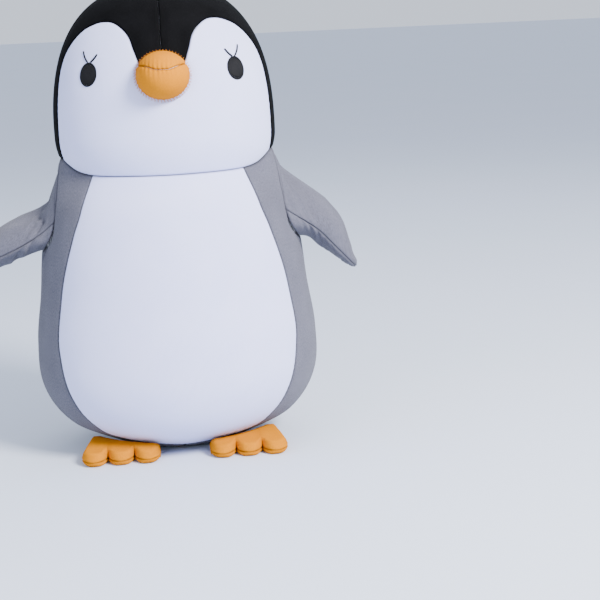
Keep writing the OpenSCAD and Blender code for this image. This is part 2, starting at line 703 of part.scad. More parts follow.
head_filling();
hood_left();
hood_right();
face_panel();
beak_filling();
beak_upper();
beak_lower();
eye_left();
eye_right();
lashes_left();
lashes_right();
body_filling();
belly_panel();
front_side_left();
front_side_right();
back_left();
back_right();
base_panel();
zip_tape_left();
zip_tape_right();
zip_teeth_left();
zip_teeth_right();
zip_stops();
zip_slider();
zip_pull();
flipper_left_filling();
flipper_left_upper();
flipper_left_under();
flipper_right_filling();
flipper_right_upper();
flipper_right_under();
foot_left_filling();
foot_left_upper();
foot_left_sole();
foot_right_filling();
foot_right_upper();
foot_right_sole();
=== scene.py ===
# Plush penguin: sewn knit panels, flippers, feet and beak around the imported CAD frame.
# Modelling is in millimetres, in the CAD frame, and becomes metres when a mesh is made.
# It faces -Y and its own left side is +X. Angles round it are degrees from the front.

import json
import math

import bpy
import numpy as np
from mathutils import Matrix, Vector
from mathutils.geometry import delaunay_2d_cdt

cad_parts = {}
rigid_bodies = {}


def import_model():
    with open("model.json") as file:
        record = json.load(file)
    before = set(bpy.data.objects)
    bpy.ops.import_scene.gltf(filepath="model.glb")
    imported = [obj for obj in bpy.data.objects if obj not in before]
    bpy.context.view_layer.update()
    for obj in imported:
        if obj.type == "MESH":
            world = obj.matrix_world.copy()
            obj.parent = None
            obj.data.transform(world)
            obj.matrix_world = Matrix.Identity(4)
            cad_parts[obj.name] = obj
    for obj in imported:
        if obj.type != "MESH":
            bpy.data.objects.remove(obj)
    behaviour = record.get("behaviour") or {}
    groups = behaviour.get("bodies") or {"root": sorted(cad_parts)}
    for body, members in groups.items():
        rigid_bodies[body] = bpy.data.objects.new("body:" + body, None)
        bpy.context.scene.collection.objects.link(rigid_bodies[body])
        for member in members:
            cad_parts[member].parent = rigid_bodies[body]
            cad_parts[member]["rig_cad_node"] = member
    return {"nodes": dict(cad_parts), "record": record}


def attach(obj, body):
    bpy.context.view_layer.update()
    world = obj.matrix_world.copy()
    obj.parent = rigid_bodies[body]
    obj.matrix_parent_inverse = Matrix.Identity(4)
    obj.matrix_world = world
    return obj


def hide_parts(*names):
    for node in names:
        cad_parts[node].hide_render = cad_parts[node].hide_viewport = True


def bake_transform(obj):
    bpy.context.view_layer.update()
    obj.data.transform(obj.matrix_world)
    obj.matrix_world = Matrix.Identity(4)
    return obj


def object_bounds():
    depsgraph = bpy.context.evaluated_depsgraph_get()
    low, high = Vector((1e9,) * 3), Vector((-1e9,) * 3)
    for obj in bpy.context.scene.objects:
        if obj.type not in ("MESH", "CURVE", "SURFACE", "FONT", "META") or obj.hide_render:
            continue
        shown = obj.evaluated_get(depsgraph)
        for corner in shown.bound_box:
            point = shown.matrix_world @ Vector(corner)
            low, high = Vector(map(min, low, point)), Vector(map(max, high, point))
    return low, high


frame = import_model()
cad_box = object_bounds()
MM = 0.001
PI = math.pi

# ---- sizes, as in the CAD source ----

TOTAL_HEIGHT = cad_box[1].z / MM
NECK_HEIGHT = 237
BODY_HALF = 120.5
BODY_DEPTH = 0.82
HEAD_HALF = 93
HEAD_WIDEST = 266
HEAD_DEPTH = 0.84
CROWN_POWER = 2.5
BODY_MIDDLE = np.array([0, 0, NECK_HEIGHT * 0.46])
HEAD_MIDDLE = np.array([0, 0, 290])
BODY_PROFILE = [
    (0, 0.387), (0.034, 0.545), (0.105, 0.816), (0.232, 0.979), (0.4, 1),
    (0.57, 0.955), (0.74, 0.916), (0.886, 0.849), (1, 0.703),
]
BELLY_EDGE = [
    (0.021, 2), (0.034, 24), (0.059, 39), (0.135, 46.5), (0.211, 50), (0.4, 55.5),
    (0.5, 56.3), (0.616, 55), (0.722, 51.5), (0.802, 48.5), (0.882, 45.8), (1, 47),
]
SIDE_SEAM = [
    (0, 90), (0.4, 88), (0.66, 84), (0.747, 73), (0.785, 67), (0.823, 66),
    (0.863, 66.3), (0.916, 69), (0.983, 78), (1, 80),
]
FACE_TOP = [
    (0, 0.585), (11.6, 0.586), (15, 0.647), (18.6, 0.719), (24, 0.768), (32, 0.803),
    (40, 0.81), (47, 0.801), (57, 0.768), (65, 0.706), (70.5, 0.627), (72.2, 0.55),
]
FACE_SIDE = 72.2
NECK_RISE = [(0, 0), (17, 0.2), (46.5, 0.9), (59, 3.5), (67.5, 8.7), (73, 12), (95, 13), (180, 9)]
NECK_HALF = BODY_HALF * BODY_PROFILE[-1][1]
COLLAR = 0.8

SIDES = {"left": 1, "right": -1}
SEAM_GAP = 0.3  # between the edges of two panels at a seam
SEAM_WIDTH = 1.9  # from a seam to where the cloth is at its full height
SEAM_DEPTH = 1.3


# ---- curves and surfaces ----

def curve(knots, x):
    """Smooth curve through the knots, level beyond its ends."""
    k = np.array(knots, float)
    x = np.clip(np.asarray(x, float), k[0, 0], k[-1, 0])
    before = np.maximum(np.arange(len(k)) - 1, 0)
    after = np.minimum(np.arange(len(k)) + 1, len(k) - 1)
    slope = (k[after, 1] - k[before, 1]) / (k[after, 0] - k[before, 0])
    i = np.clip(np.searchsorted(k[:, 0], x, side="right") - 1, 0, len(k) - 2)
    h = k[i + 1, 0] - k[i, 0]
    t = (x - k[i, 0]) / h
    start = (2 * t**3 - 3 * t**2 + 1) * k[i, 1] + (t**3 - 2 * t**2 + t) * h * slope[i]
    return start + (3 * t**2 - 2 * t**3) * k[i + 1, 1] + (t**3 - t**2) * h * slope[i + 1]


def mix(a, b, t):
    return a + (b - a) * t


def smooth(t):
    t = np.clip(t, 0, 1)
    return t * t * (3 - 2 * t)


def unit(v):
    return v / np.maximum(np.linalg.norm(v, axis=-1, keepdims=True), 1e-9)


def round_body(half, depth, angle, z):
    """Points of an oval ring of the body or head."""
    turn = np.radians(angle)
    return np.stack([half * np.sin(turn), -depth * half * np.cos(turn), z + 0 * turn], -1)


def head_half_at(z):
    """Half width of the head at a height."""
    z = np.asarray(z, float)
    low = HEAD_HALF - (HEAD_HALF - NECK_HALF) * ((HEAD_WIDEST - z) / (HEAD_WIDEST - NECK_HEIGHT)) ** 2
    share = np.clip((z - HEAD_WIDEST) / (TOTAL_HEIGHT - HEAD_WIDEST), 0, 1)
    return np.where(z < HEAD_WIDEST, low, HEAD_HALF * (1 - share**CROWN_POWER) ** (1 / CROWN_POWER))


def head_depth_at(z):
    return mix(BODY_DEPTH, HEAD_DEPTH,
               np.clip((np.asarray(z) - NECK_HEIGHT) / (HEAD_WIDEST - NECK_HEIGHT), 0, 1))


def head_point(angle, z):
    return round_body(head_half_at(z), head_depth_at(z), angle, z)


def neck_at(angle):
    return NECK_HEIGHT + curve(NECK_RISE, np.abs(angle))


def face_top_at(angle):
    return NECK_HEIGHT + (TOTAL_HEIGHT - NECK_HEIGHT) * curve(FACE_TOP, np.abs(angle))


def body_half_at(share):
    return BODY_HALF * curve(BODY_PROFILE, share)


def body_at(angle, share):
    """Point of the body, which meets the head all along the neck seam."""
    collar = np.clip((share - COLLAR) / (1 - COLLAR), 0, 1)
    top = neck_at(angle)
    z = share * NECK_HEIGHT + (top - NECK_HEIGHT) * collar**1.5
    half = body_half_at(share) * mix(1, head_half_at(top) / NECK_HALF, collar**2)
    return round_body(half, mix(BODY_DEPTH, head_depth_at(top), collar), angle, z)


def arc_table(x, z):
    """Length along a line, from its first point."""
    return np.concatenate([[0], np.cumsum(np.hypot(np.diff(x), np.diff(z)))])


# The body is cut flat as millimetres round it by millimetres up its side
BODY_TURN = 100 * PI / 180
body_shares = np.linspace(0, 1, 600)
body_arcs = arc_table(body_half_at(body_shares), body_shares * NECK_HEIGHT)


def body_plane(angle, share):
    angle, share = np.broadcast_arrays(angle, share)
    return np.stack([angle * BODY_TURN, np.interp(share, body_shares, body_arcs)], -1)


def body_surface(flat):
    return body_at(flat[:, 0] / BODY_TURN, np.interp(flat[:, 1], body_arcs, body_shares))


# The face is cut flat as millimetres round the head by height
FACE_TURN = HEAD_HALF * PI / 180


def face_plane(angle, z):
    angle, z = np.broadcast_arrays(angle, z)
    return np.stack([angle * FACE_TURN, z], -1)


def face_surface(flat):
    return head_point(flat[:, 0] / FACE_TURN, flat[:, 1])


# The hood is cut flat as a disc round the crown
crown_turn = np.linspace(PI / 2, 0, 500)
crown_z = np.concatenate([
    HEAD_WIDEST + (TOTAL_HEIGHT - HEAD_WIDEST) * np.sin(crown_turn) ** (2 / CROWN_POWER),
    np.linspace(HEAD_WIDEST, NECK_HEIGHT, 60)[1:],
])
crown_half = np.concatenate([
    HEAD_HALF * np.cos(crown_turn) ** (2 / CROWN_POWER), head_half_at(crown_z[len(crown_turn):]),
])
crown_arcs = arc_table(crown_half, crown_z)


def hood_plane(angle, z):
    angle, z = np.broadcast_arrays(np.radians(angle), z)
    arc = np.interp(-z, -crown_z, crown_arcs)
    return np.stack([arc * np.sin(angle), -arc * np.cos(angle)], -1)


def hood_surface(flat):
    arc = np.hypot(flat[:, 0], flat[:, 1])
    z = np.interp(arc, crown_arcs, crown_z)
    half = np.interp(arc, crown_arcs, crown_half)
    return round_body(half, head_depth_at(z), np.degrees(np.arctan2(flat[:, 0], -flat[:, 1])), z)


# ---- cloth ----

def ripple(points, size, phase):
    """Smooth waves about as long as a size, which never repeat, from -1 to 1."""
    p = points / size * 2 * PI
    x, y, z = p[..., 0], p[..., 1], p[..., -1]
    return (np.sin(x + 1.3 * np.sin(0.71 * y + phase) + phase)
            + np.sin(0.83 * y + 1.1 * np.sin(0.57 * z + 2 * phase) + 1.7)
            + np.sin(0.91 * z + 1.2 * np.sin(0.63 * x) + 3 * phase)) / 3


def groove(distance, depth=SEAM_DEPTH):
    """How far the cloth turns in near a seam."""
    share = np.clip(1 - distance / SEAM_WIDTH, 0, 1)
    return depth * (1 - np.sqrt(1 - 0.999 * share**2))


def link(name, data):
    """A new object in the scene."""
    made = bpy.data.objects.new(name, data)
    bpy.context.scene.collection.objects.link(made)
    return made


def make_piece(name, points, faces, knit=None):
    """A smooth mesh from points in millimetres, with its cloth coordinates kept as an attribute."""
    mesh = bpy.data.meshes.new(name)
    mesh.from_pydata((np.asarray(points) * MM).tolist(), [], [list(map(int, f)) for f in faces])
    mesh.shade_smooth()
    if knit is not None:
        layer = mesh.attributes.new("knit", "FLOAT_VECTOR", "POINT")
        layer.data.foreach_set("vector", np.asarray(knit, np.float32).ravel())
    return link(name, mesh)


def along(side, step):
    """The points of a line, spaced out evenly about a step apart, without its last point."""
    lengths = np.concatenate([[0], np.cumsum(np.linalg.norm(np.diff(side, axis=0), axis=1))])
    count = max(1, round(lengths[-1] / step))
    at = np.linspace(0, lengths[-1], count + 1)[:-1]
    return np.stack([np.interp(at, lengths, side[:, i]) for i in (0, 1)], -1)


def nearest(points, line, closed=True):
    """Distance from each point to a line, and the place along it, in steps of the line."""
    a = line if closed else line[:-1]
    d = (np.roll(line, -1, 0) if closed else line[1:]) - a
    t = ((points[:, None] - a) * d).sum(2) / np.maximum((d * d).sum(1), 1e-12)
    t = np.clip(t, 0, 1)
    gap = np.linalg.norm(points[:, None] - a - t[:, :, None] * d, axis=2)
    i = gap.argmin(1)
    rows = np.arange(len(points))
    return gap[rows, i], i + t[rows, i]


def inside(points, line):
    """Which points lie inside a closed line."""
    a, b = line, np.roll(line, -1, 0)
    spans = (a[:, 1] > points[:, 1:2]) != (b[:, 1] > points[:, 1:2])
    rise = np.where(a[:, 1] == b[:, 1], 1, b[:, 1] - a[:, 1])
    cross = a[:, 0] + (points[:, 1:2] - a[:, 1]) * (b[:, 0] - a[:, 0]) / rise
    return (spans & (points[:, :1] < cross)).sum(1) % 2 == 1


PUCKER_LENGTH = 5.2  # from one small pucker along a panel's seam to the next
PUCKER_DEPTH = 0.1
GRID_PUCKER_LENGTH = 4.3
GRID_PUCKER_DEPTH = 0.22
WAVE_LENGTH = 75  # of the slow waves that the filling leaves in a panel
WAVE_DEPTH = 0.25
SEAM_DIP = 0.55  # how deep a panel lies beside a seam, fading out over a width
SEAM_DIP_WIDTH = 7
EDGE_STEP = 1.6  # between the points of a panel's edge
EDGE_ROWS = (0.45, 1.0, 1.8, 3.0)  # distances from a seam of the rows of points beside it
GRID_STEP = 3.6
TURNED_IN = (0.8, 2.0)  # depths of the rows of the hem under a seam


def flat_pattern(sides, edge_step, grid_step, rows):
    """Points and triangles of a flat panel with finer rows along its edge."""
    edge = np.concatenate([along(s, edge_step) for s in sides])
    tangent = unit(np.roll(edge, -1, 0) - np.roll(edge, 1, 0))
    inward = np.stack([-tangent[:, 1], tangent[:, 0]], -1)
    area = (edge[:, 0] * np.roll(edge[:, 1], -1) - edge[:, 1] * np.roll(edge[:, 0], -1)).sum()
    inward *= np.sign(area)
    edge = edge + inward * SEAM_GAP / 2
    parts = [edge]
    for row in rows:
        shifted = edge + inward * row
        shifted = shifted[inside(shifted, edge)]
        parts.append(shifted[nearest(shifted, edge)[0] > 0.93 * row])
    low, high = edge.min(0), edge.max(0)
    xs = np.arange(low[0], high[0], grid_step)
    ys = np.arange(low[1], high[1], grid_step * 0.87)
    grid = np.stack(np.meshgrid(xs, ys), -1)
    grid[1::2, :, 0] += grid_step / 2
    grid = grid.reshape(-1, 2)
    grid = grid[inside(grid, edge)]
    parts.append(grid[nearest(grid, edge)[0] > rows[-1] + 0.45 * grid_step])
    flat = np.concatenate(parts)
    count = len(edge)
    loop = [(i, (i + 1) % count) for i in range(count)]
    made = delaunay_2d_cdt([Vector(p) for p in flat], loop, [], 1, 1e-6)
    return np.array([tuple(v) for v in made[0]]), [list(f) for f in made[2]], count


NECK_FOLD = 7  # height over which the cloth beside the neck seam turns in level


def neck_height_beside(points):
    return neck_at(np.degrees(np.arctan2(points[:, 0], -points[:, 1])))


def sewn_panel(name, sides, surface, centre, relief=None,
               edge_step=EDGE_STEP, grid_step=GRID_STEP, rows=EDGE_ROWS, depth=SEAM_DEPTH):
    """A taut panel of cloth over a surface, its edges turned in at the seams."""
    flat, faces, edge_count = flat_pattern(sides, edge_step, grid_step, rows)
    points = surface(flat)
    step = 0.25
    across = surface(flat + [step, 0]) - surface(flat - [step, 0])
    upward = surface(flat + [0, step]) - surface(flat - [0, step])
    normal = unit(np.cross(across, upward))
    if (normal * (points - centre)).sum() < 0:
        normal = -normal
        faces = [f[::-1] for f in faces]
    level = 1 - np.exp(-(((points[:, 2] - neck_height_beside(points)) / NECK_FOLD) ** 2))
    normal = unit(normal * np.column_stack([np.ones((len(points), 2)), level]))
    distance, place = nearest(flat, flat[:edge_count])
    pucker = np.sin(place * edge_step * 2 * PI / PUCKER_LENGTH + 2 * ripple(points, 60, 0.4))
    lift = -groove(distance, depth)
    lift += PUCKER_DEPTH * pucker * np.exp(-distance / 2.5) * smooth(distance)
    lift += WAVE_DEPTH * ripple(points, WAVE_LENGTH, 1.1) * smooth(distance / 12)
    lift -= SEAM_DIP * np.exp(-distance / SEAM_DIP_WIDTH)
    if relief is not None:
        lift += relief(flat, points, distance)
    points = points + normal * lift[:, None]
    edge = np.arange(edge_count)
    # The third value, the distance from the seam, also sets the painted seam shade in the knit
    # material
    knit = np.column_stack([flat, distance])
    return turn_edge_in(name, points, faces, knit, edge, normal[edge])


def turn_edge_in(name, points, faces, knit, edge, normal):
    """The piece, with a hem that goes down from its closed edge."""
    forward = any(f[i - 1] == edge[0] and f[i] == edge[1] for f in faces for i in range(len(f)))
    faces = list(faces)
    above = edge
    for down in TURNED_IN:
        below = np.arange(len(edge)) + len(points)
        points = np.concatenate([points, points[edge] - normal * down])
        knit = np.concatenate([knit, knit[edge]])
        for i in range(len(edge)):
            j = (i + 1) % len(edge)
            quad = [above[j], above[i], below[i], below[j]]
            faces.append(quad if forward else quad[::-1])
        above = below
    return make_piece(name, points, faces, knit)


# ---- flippers: where they join the body, and their shape ----

# Edge of a flipper's sleeve on the body: degrees round the flipper from its front seam,
# degrees round the body, share of the neck height
SLEEVE_EDGE = [
    (-180, 112, 0.84), (-160, 112, 0.806), (-140, 109, 0.772), (-115, 99, 0.738), (-90, 88, 0.728),
    (-65, 77, 0.738), (-40, 69, 0.772), (-20, 66.3, 0.806), (0, 66, 0.84), (25, 67, 0.873),
    (50, 71, 0.915), (68, 77, 0.955), (80, 81.5, 0.997), (90, 89, 0.999), (100, 97, 0.997),
    (112, 101, 0.955), (130, 107, 0.915), (155, 111, 0.873), (180, 112, 0.84),
]
FLIPPER_LENGTH = 78
FLIPPER_HALF_WIDTH = 27
FLIPPER_WIDTH = [
    (0.05, 0.8), (0.15, 0.93), (0.3, 1), (0.5, 0.93), (0.7, 0.76), (0.86, 0.53), (0.95, 0.32),
    (1, 0.06),
]
FLIPPER_TOP = [
    (0.05, 7), (0.12, 15), (0.25, 21), (0.4, 21.5), (0.55, 18.5), (0.7, 13.5), (0.86, 8.5),
    (0.95, 5.2), (1, 1),
]
FLIPPER_BOTTOM = [
    (0.05, 1.8), (0.12, 3), (0.25, 5.6), (0.42, 9), (0.7, 8.2), (0.86, 5.6), (0.95, 3.5), (1, 0.9),
]
SLEEVE_END = 34  # along the flipper, where it has its own full section
ROOT_ROWS, TIP_ROWS = 24, 26  # rows of points before and after the sleeve's end
# Side, shoulder, degrees below the horizontal, how closely the sleeve's top keeps to the body
FLIPPERS = {
    "left": (1, np.array([106.0, -2, 200]), 48, 0.95),
    "right": (-1, np.array([108.9, -2, 186]), 22, 1.9),
}


def sleeve_edge(turn):
    """Point of the body where the sleeve is sewn on, at an angle round the flipper."""
    knots = np.array(SLEEVE_EDGE)
    angle = curve(knots[:, [0, 1]], turn)
    share = curve(knots[:, [0, 2]], turn)
    return body_at(angle, np.minimum(share, 1)), angle, share


def flipper_at(length, turn, shoulder, droop):
    """Point of the stuffed flipper at a length along it and an angle round it."""
    share = length / FLIPPER_LENGTH
    a, t = np.radians(droop), np.radians(turn)
    side = -curve(FLIPPER_WIDTH, share) * FLIPPER_HALF_WIDTH * np.cos(t)
    thick = np.where(np.sin(t) > 0, curve(FLIPPER_TOP, share), curve(FLIPPER_BOTTOM, share))
    up = thick * np.sin(t)
    return shoulder + np.stack([
        length * np.cos(a) + up * np.sin(a), side, up * np.cos(a) - length * np.sin(a),
    ], -1)


def sleeve_grid(turns, shoulder, droop, hug):
    """Rows of points from the body to the tip of the flipper."""
    start = sleeve_edge(turns)[0]
    outward = unit(start * [1, 1 / BODY_DEPTH**2, 0])
    end = flipper_at(SLEEVE_END, turns, shoulder, droop)
    towards = flipper_at(SLEEVE_END + 1, turns, shoulder, droop) - end
    ahead = unit(flipper_at(SLEEVE_END * 0.5, turns, shoulder, droop) - start)
    high = smooth(np.sin(np.radians(turns)))[:, None]
    lean = mix(0.75, 0.1, smooth((np.sin(np.radians(turns)) + 1) / 1.6))  # away from the body
    flat_ahead = ahead - outward * (ahead * outward).sum(-1, keepdims=True)
    leave = unit(unit(flat_ahead) * (1 - lean)[:, None] + outward * lean[:, None])
    reach = np.linalg.norm(end - start, axis=-1, keepdims=True)
    rows = []
    for t in np.linspace(0, 1, ROOT_ROWS, endpoint=False):
        rows.append((2 * t**3 - 3 * t**2 + 1) * start
                    + (t**3 - 2 * t**2 + t) * reach * mix(0.9, hug, high) * leave
                    + (3 * t**2 - 2 * t**3) * end
                    + (t**3 - t**2) * reach * mix(1, 0.55 + 0.5 * hug, high) * unit(towards))
    for t in np.sin(np.linspace(0, PI / 2, TIP_ROWS)):
        rows.append(flipper_at(mix(SLEEVE_END, FLIPPER_LENGTH, t), turns, shoulder, droop))
    return np.array(rows)


def spread(count, low, high, crowd=0.75):
    """Numbers from low to high, closer together at both ends."""
    t = np.linspace(0, 1, count)
    return mix(low, high, mix(t, (1 - np.cos(PI * t)) / 2, crowd))


# ---- soft pieces from grids ----

def grid_faces(rows, cols):
    return [[i * cols + j, i * cols + j + 1, (i + 1) * cols + j + 1, (i + 1) * cols + j]
            for i in range(rows - 1) for j in range(cols - 1)]


def grid_facing(grid):
    """Normals of the faces that grid_faces makes, longer where a face is larger."""
    return np.cross(np.gradient(grid, axis=1), np.gradient(grid, axis=0))


def sewn_grid(name, grid, sewn, middle, relief=None):
    """A grid of points as cloth, its edge rows or columns named in sewn turned in at a seam."""
    rows, cols = grid.shape[:2]
    normal = unit(grid_facing(grid))
    for _ in range(2):
        around = np.pad(normal, ((1, 1), (1, 1), (0, 0)), "edge")
        normal = unit(2 * normal + around[2:, 1:-1] + around[:-2, 1:-1]
                      + around[1:-1, 2:] + around[1:-1, :-2])
    if (normal * (grid - middle)).sum() < 0:
        normal = -normal
    u = np.concatenate([np.zeros((rows, 1)), np.cumsum(
        np.linalg.norm(np.diff(grid, axis=1), axis=2), axis=1)], 1)
    v = np.concatenate([np.zeros((1, cols)), np.cumsum(
        np.linalg.norm(np.diff(grid, axis=0), axis=2), axis=0)], 0)
    gaps = {"first_col": u, "last_col": u[:, -1:] - u, "first_row": v, "last_row": v[-1:] - v}
    distance = np.full((rows, cols), 99.0)
    lift = np.zeros((rows, cols))
    for edge in sewn:
        gap = gaps[edge]
        distance = np.minimum(distance, gap)
        place = v if edge.endswith("col") else u
        pucker = np.sin(place * 2 * PI / GRID_PUCKER_LENGTH + 2.5 * ripple(grid, 40, 0.9))
        lift += GRID_PUCKER_DEPTH * pucker * np.exp(-gap / 3) * smooth(gap)
    lift -= groove(distance)
    if relief is not None:
        lift += relief(u, v, grid)
    points = (grid + normal * lift[..., None]).reshape(-1, 3)
    around = np.concatenate([
        np.arange(cols), np.arange(1, rows) * cols + cols - 1,
        (rows - 1) * cols + np.arange(cols - 2, -1, -1), np.arange(rows - 2, 0, -1) * cols,
    ])
    # The third value, the distance from the seam, also sets the painted seam shade in the knit
    # material
    knit = np.stack([u - u[:, -1:] / 2, v, distance], -1).reshape(-1, 3)
    faces = grid_faces(rows, cols)
    if (grid_facing(grid) * normal).sum() < 0:
        faces = [f[::-1] for f in faces]
    return turn_edge_in(name, points, faces, knit, around, normal.reshape(-1, 3)[around])


SEAM_CALM = 12  # how far from a seam the simulated folds have their full depth


def edge_of(grid):
    """Which points of a grid lie on its edge."""
    mask = np.ones(grid.shape[:2], bool)
    mask[1:-1, 1:-1] = False
    return mask


def inflate(grids, pressure, slack, cap, frames=18):
    """Cloth simulation: the grids, sewn together at their edges, blown up a little as stuffing does.

    Each point moves by at most cap millimetres, and less beside the edges, which stay in place."""
    sizes = [g.shape[0] * g.shape[1] for g in grids]
    points = np.concatenate([g.reshape(-1, 3) for g in grids])
    faces = []
    start = 0
    for g, size in zip(grids, sizes):
        local = grid_faces(*g.shape[:2])
        outward = (grid_facing(g) * (g - points.mean(0))).sum() > 0
        faces += [[start + i for i in (f if outward else f[::-1])] for f in local]
        start += size
    body = make_piece("simulated", points, faces)
    pinned = body.vertex_groups.new(name="pinned")
    still = np.concatenate([edge_of(g).ravel() for g in grids])
    pinned.add(np.flatnonzero(still).tolist(), 1, "REPLACE")
    cloth = body.modifiers.new("cloth", "CLOTH")
    cloth.settings.vertex_group_mass = "pinned"
    cloth.settings.quality = 6
    cloth.settings.mass = 0.15
    cloth.settings.use_pressure = True
    cloth.settings.uniform_pressure_force = pressure
    cloth.settings.shrink_min = -slack
    cloth.settings.tension_stiffness = 25
    cloth.settings.compression_stiffness = 25
    cloth.settings.bending_stiffness = 0.05
    cloth.settings.effector_weights.gravity = 0
    cloth.collision_settings.use_collision = False
    cloth.point_cache.frame_start = 1
    cloth.point_cache.frame_end = frames
    for number in range(1, frames + 1):
        bpy.context.scene.frame_set(number)
    shaped = body.evaluated_get(bpy.context.evaluated_depsgraph_get()).to_mesh()
    moved = np.zeros(len(points) * 3)
    shaped.vertices.foreach_get("co", moved)
    moved = moved.reshape(-1, 3) / MM - points
    bpy.data.objects.remove(body)
    bpy.context.scene.frame_set(1)
    far = np.linalg.norm(moved, axis=1, keepdims=True)
    moved *= np.minimum(1, cap / np.maximum(far, 1e-9))
    gap = np.linalg.norm(points[:, None] - points[still][None], axis=2).min(1)
    moved *= smooth(gap / SEAM_CALM)[:, None]
    parts = np.split(points + moved, np.cumsum(sizes)[:-1])
    return [part.reshape(g.shape) for part, g in zip(parts, grids)]


# ---- body ----

BASE_SHARE = 0.002  # where the panels that meet the base start
BELLY_LOW = BELLY_EDGE[0][0]
ZIP_LOW = 70
ZIP_HIGH = 190
ZIP_EDGE = 5.4  # from the middle to the folded edge beside the teeth
ZIP_PAST = 6  # length of the opening past each end of the teeth
ZIP_SINK = 0.5  # depth of the folded edges under the line of the zip
ZIP_FLAT = 24  # how far the back is flattened to each side of the zip
INSIDE_SLEEVE = 3.2  # how much deeper the body's cloth lies inside a sleeve than at its seam


def seam(knots, low, high):
    """A seam that runs up the body, flat."""
    shares = np.linspace(low, high, 200)
    return body_plane(curve(knots, shares), shares)


def round_line(share, first, last):
    return body_plane(np.linspace(first, last, 60), share)


def belly_edge():
    """Edge of the belly, from the middle of the base seam up to the neck."""
    return np.concatenate([body_plane(np.array([0.0]), np.array([BASE_SHARE])),
                           seam(BELLY_EDGE, BELLY_LOW, 1)])


def zip_edge():
    """Edge of the back from the neck down the middle, round the opening for the zip."""
    z = np.concatenate([[NECK_HEIGHT], np.linspace(ZIP_HIGH + 20, ZIP_LOW - 20, 120), [1]])
    past = np.maximum(ZIP_LOW - ZIP_PAST - z, z - ZIP_HIGH - ZIP_PAST)
    half = ZIP_EDGE * smooth(1 - past / 4)
    share = z / NECK_HEIGHT
    share[-1] = BASE_SHARE
    return body_plane(180 - np.degrees(half / body_half_at(share)), share)


sleeve_turns = np.linspace(-180, 180, 150, endpoint=False)
sleeve_plane = body_plane(*sleeve_edge(sleeve_turns)[1:])


def under_sleeve(flat, points, distance):
    """The cloth turns in round a sleeve and lies deeper inside it."""
    gap = nearest(flat, sleeve_plane)[0]
    within = inside(flat, sleeve_plane)
    sunk = SEAM_DEPTH + INSIDE_SLEEVE * smooth(gap / 5)
    return -np.maximum(np.where(within, sunk, groove(gap)) - groove(distance), 0)


def beside_zip(flat, points, distance):
    """The back lies flat along the straight zip."""
    z = points[:, 2]
    straight = mix(body_half_at(ZIP_LOW / NECK_HEIGHT), body_half_at(ZIP_HIGH / NECK_HEIGHT),
                   (z - ZIP_LOW) / (ZIP_HIGH - ZIP_LOW))
    bulge = BODY_DEPTH * (body_half_at(z / NECK_HEIGHT) - straight)
    near = smooth(1 - (np.abs(points[:, 0]) - ZIP_EDGE) / ZIP_FLAT) * (points[:, 1] > 0)
    past = np.maximum(ZIP_LOW - ZIP_PAST - z, z - ZIP_HIGH - ZIP_PAST)
    sink = (bulge + ZIP_SINK) * near * smooth(1 - past / 16)
    return -np.maximum(sink - groove(distance) * (np.abs(points[:, 0]) < 10), 0)


def back_relief(flat, points, distance):
    return under_sleeve(flat, points, distance) + beside_zip(flat, points, distance)


def mirrored(surface, side):
    return lambda flat: surface(flat) * [side, 1, 1]


def body_panels():
    """The belly, the front sides, the back and the base, each with the CAD node it stands for."""
    edge = belly_edge()
    flip = edge * [-1, 1]
    made = {"belly_panel": sewn_panel(
        "belly", [edge[1:], round_line(1, 47, -47), flip[:0:-1]], body_surface, BODY_MIDDLE)}
    side_seam = seam(SIDE_SEAM, BASE_SHARE, 1)
    for word, side in SIDES.items():
        surface = mirrored(body_surface, side)
        made["front_side_" + word] = sewn_panel(
            "front_side." + word,
            [edge, round_line(1, 47, 80), side_seam[::-1], round_line(BASE_SHARE, 90, 0)],
            surface, BODY_MIDDLE, under_sleeve)
        made["back_" + word] = sewn_panel(
            "back." + word,
            [side_seam, round_line(1, 80, 180), zip_edge(), round_line(BASE_SHARE, 180, 90)],
            surface, BODY_MIDDLE, back_relief)
    turn = np.linspace(0, 2 * PI, 200)
    radius = body_half_at(BASE_SHARE)
    made["base_panel"] = sewn_panel(
        "base", [radius * np.stack([np.cos(turn), BODY_DEPTH * np.sin(turn)], -1)],
        lambda flat: np.column_stack([flat, np.full(len(flat), 0.35)]), BODY_MIDDLE)
    return made


# ---- head ----

EYE_ANGLE = 42.3
EYE_Z = 319.5
BEAK_Z = 316.5
BEAK_HALF_WIDTH = 22
BEAK_HALF_HEIGHT = 19.5
BEAK_LENGTH = 23
BEAK_TILT = math.radians(10)
EYE_PULL, EYE_PULL_WIDTH = 0.9, 11  # depth and width of the dent that each eye makes
BEAK_PULL, BEAK_PULL_WIDTH = 1.1, 3  # the same along the edge of the beak
DENT_DEPTH, DENT_WIDTH = 1.6, 4.5  # the same in the hood's seam
DENT_ABOVE = 7  # from the beak up to the dent


def face_relief(angle, z):
    """The thread of the eyes and the edge of the beak pull the face in."""
    around = (np.abs(angle) - EYE_ANGLE) * FACE_TURN
    eye = EYE_PULL * np.exp(-((around**2 + (z - EYE_Z) ** 2) / EYE_PULL_WIDTH**2))
    x = HEAD_HALF * np.sin(np.radians(angle))
    ring = np.hypot(x / BEAK_HALF_WIDTH, (z - BEAK_Z) / BEAK_HALF_HEIGHT)
    return -eye - BEAK_PULL * np.exp(-(((ring - 1) * BEAK_HALF_WIDTH / BEAK_PULL_WIDTH) ** 2))


def hood_relief(flat, points, distance):
    """A dent in the seam just above the beak."""
    gap = np.linalg.norm(points - head_point(0, BEAK_Z + BEAK_HALF_HEIGHT + DENT_ABOVE), axis=1)
    return -DENT_DEPTH * np.exp(-((gap / DENT_WIDTH) ** 2))


